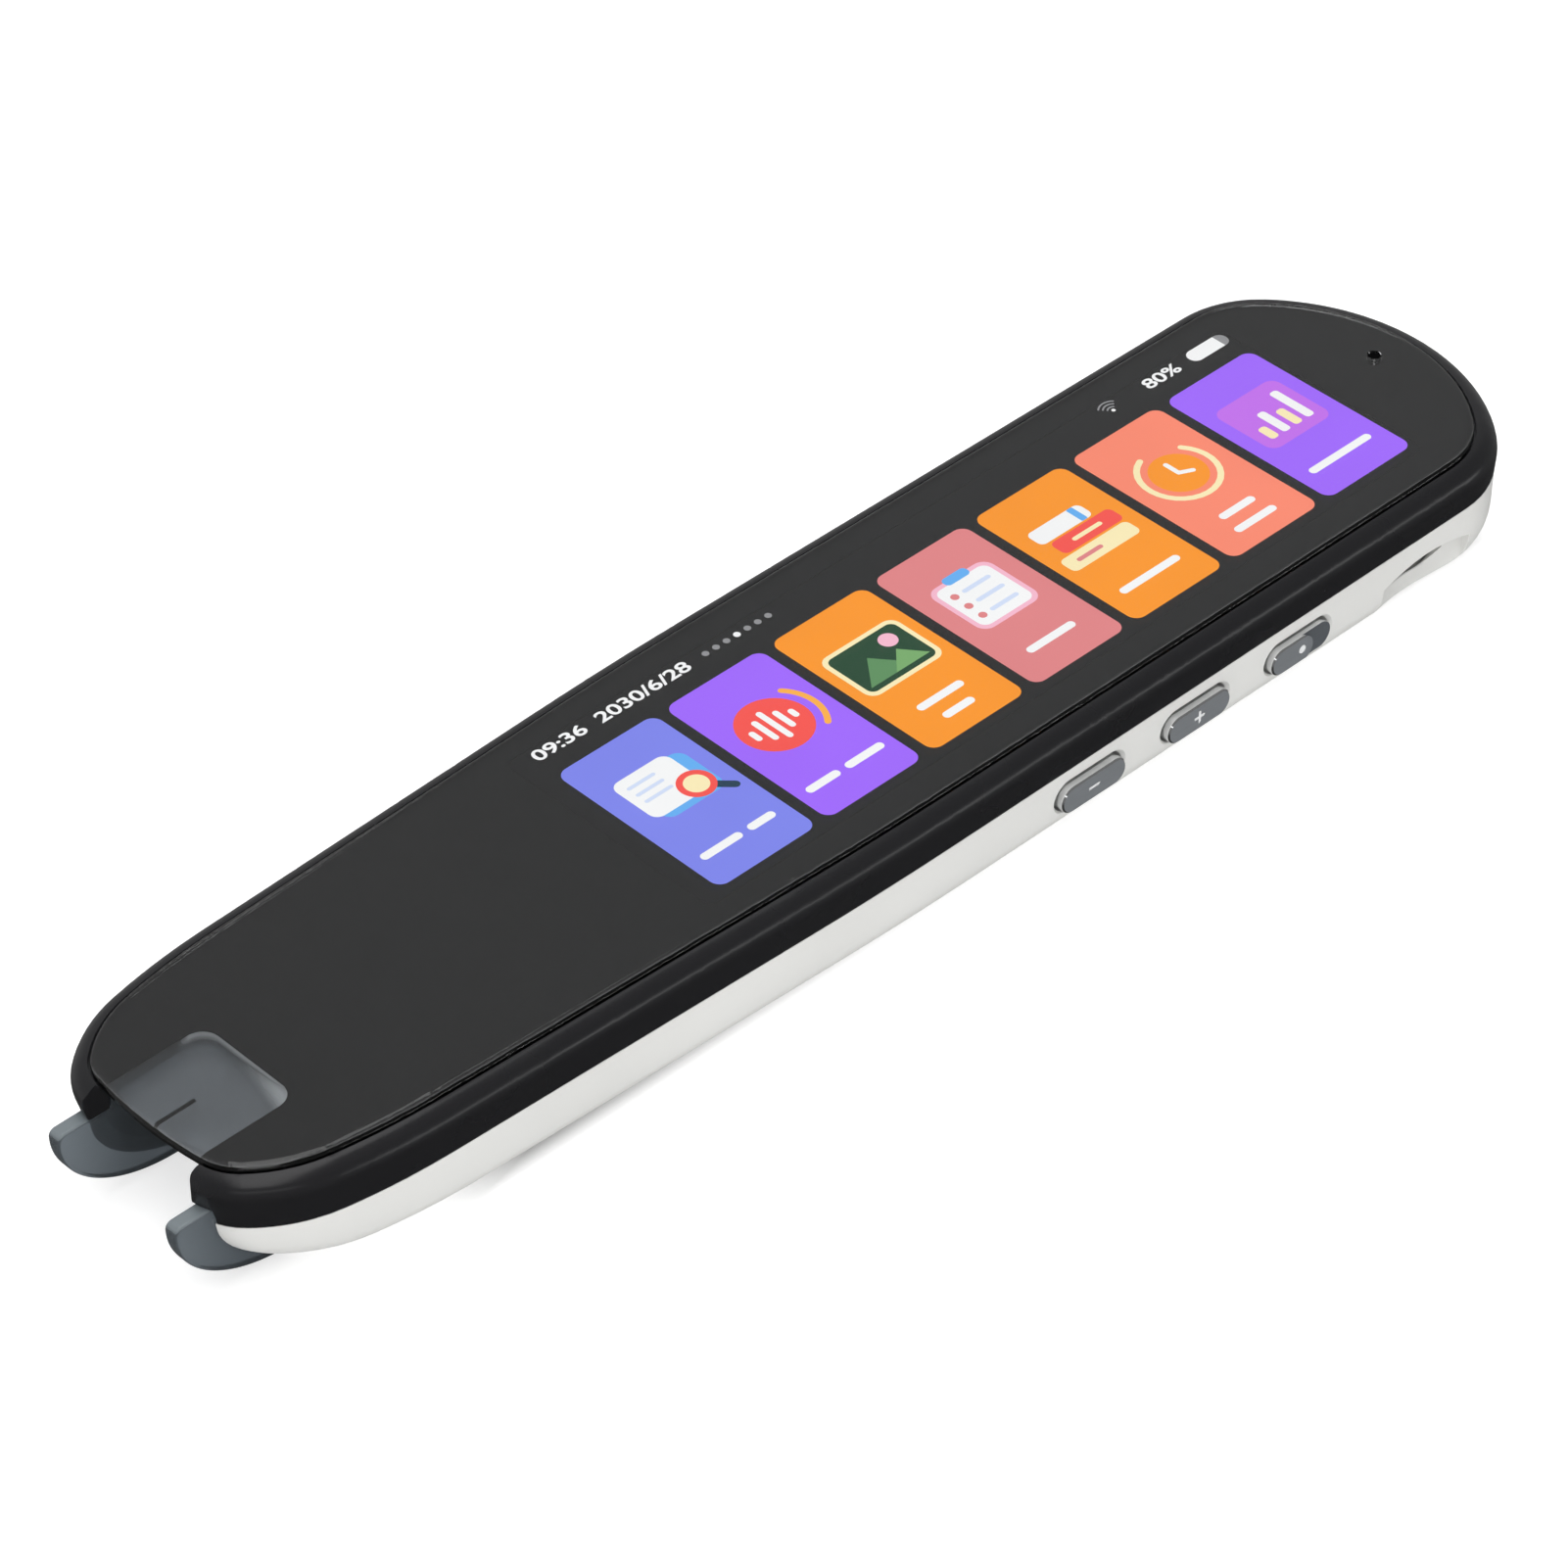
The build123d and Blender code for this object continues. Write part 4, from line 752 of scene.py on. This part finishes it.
# ---- Stage ----
def make_camera():
    """Long lens that looks down along the pen from its nose and button side."""
    data = bpy.data.cameras.new("camera")
    data.sensor_width = SENSOR_WIDTH
    data.lens = FOCAL_PIXELS / IMAGE_SIDE * SENSOR_WIDTH
    data.clip_start = CLIP_START
    camera = bpy.data.objects.new("camera", data)
    camera.location = CAMERA_PLACE
    angles = (math.radians(90.0 - CAMERA_DOWN), 0.0, math.radians(CAMERA_HEADING))
    camera.rotation_euler = Euler(angles)
    bpy.context.scene.collection.objects.link(camera)
    bpy.context.scene.camera = camera


def make_floor():
    """Pale seamless floor that glows like a lit table, except right under the pen."""
    work = bmesh.new()
    corners = [(-1, -1), (1, -1), (1, 1), (-1, 1)]
    work.faces.new([work.verts.new((x * FLOOR_REACH, y * FLOOR_REACH, -FLOOR_DROP)) for x, y in corners])
    look = Look("floor", (0.5, 0.5, 0.5), 0.7, Emission_Strength=FLOOR_GLOW)
    place = look.split(look.place)
    shares = []
    for axis, limits in (("X", UNLIT_X), ("Y", UNLIT_Y)):
        reach = look.nodes.new("ShaderNodeMath")
        reach.operation = "ABSOLUTE"
        look.links.new(place[axis], reach.inputs[0])
        shares.append(look.ranged(reach.outputs["Value"], 0.0, 1.0, *limits))
    look.links.new(look.either(*shares), look.shader.inputs["Emission Color"])
    floor = bpy.data.objects.new("floor", finish_mesh(work, "floor", [look.mottle(0.4, 0.985).material]))
    bpy.context.scene.collection.objects.link(floor)
    floor.location.x = UNLIT_CENTRE_X
    floor.visible_glossy = False


def softbox(name, place, size, radiance, mirrored=True):
    """Rectangular lamp that shines from a place towards the pen, and may show in its gloss."""
    data = bpy.data.lights.new(name, "AREA")
    data.shape = "RECTANGLE"
    data.size, data.size_y = size
    data.energy = radiance * math.pi * size[0] * size[1]
    lamp_object = bpy.data.objects.new(name, data)
    lamp_object.location = place
    lamp_object.rotation_euler = (-Vector(place)).to_track_quat("-Z", "Y").to_euler()
    lamp_object.visible_camera = False
    lamp_object.visible_glossy = mirrored
    bpy.context.scene.collection.objects.link(lamp_object)


def make_sky():
    """Dim studio walls: paler on the far side, and fading to dark under the horizon."""
    world = bpy.data.worlds.new("studio")
    bpy.context.scene.world = world
    world.use_nodes = True
    tree = world.node_tree
    place = tree.nodes.new("ShaderNodeTexCoord")
    parts = tree.nodes.new("ShaderNodeSeparateXYZ")
    tree.links.new(place.outputs["Generated"], parts.inputs["Vector"])
    shares = []
    ramps = [("Y", {"From Min": 0.0, "From Max": 0.5, "To Min": 0.16, "To Max": 0.36})]
    ramps.append(("Z", {"From Min": -0.6, "From Max": -0.3, "To Min": 0.25, "To Max": 1.0}))
    for axis, values in ramps:
        ramp = tree.nodes.new("ShaderNodeMapRange")
        for socket, value in values.items():
            ramp.inputs[socket].default_value = value
        tree.links.new(parts.outputs[axis], ramp.inputs["Value"])
        shares.append(ramp.outputs["Result"])
    strength = tree.nodes.new("ShaderNodeMath")
    strength.operation = "MULTIPLY"
    for index, share in enumerate(shares):
        tree.links.new(share, strength.inputs[index])
    tree.links.new(strength.outputs["Value"], tree.nodes["Background"].inputs["Strength"])
    tree.nodes["Background"].inputs["Color"].default_value = (1.0, 1.0, 1.0, 1.0)


def make_light():
    """Big box overhead for light alone, and three lamps that the gloss mirrors as well."""
    softbox("top_box", (-0.1, -0.08, 0.7), (0.8, 0.8), 2.5, mirrored=False)
    softbox("side_strip", (0.62, -1.0, 0.06), (1.1, 0.16), 2.2)
    softbox("sky_box", (-0.13, -0.135, 0.9), (0.45, 1.6), 1.6)
    softbox("low_box", (-0.7, -0.8, 0.3), (0.8, 0.1), 1.4)
    bpy.context.scene.view_settings.view_transform = "Standard"


looks = dress_nodes()
glows = {name: glow("glow_" + name, colour) for name, colour in PALETTE.items()}
screen_cards(glows)
status_row(glows)
microphone_shade_mesh(looks["ink_black"])
button_signs()
make_camera()
make_floor()
make_sky()
make_light()
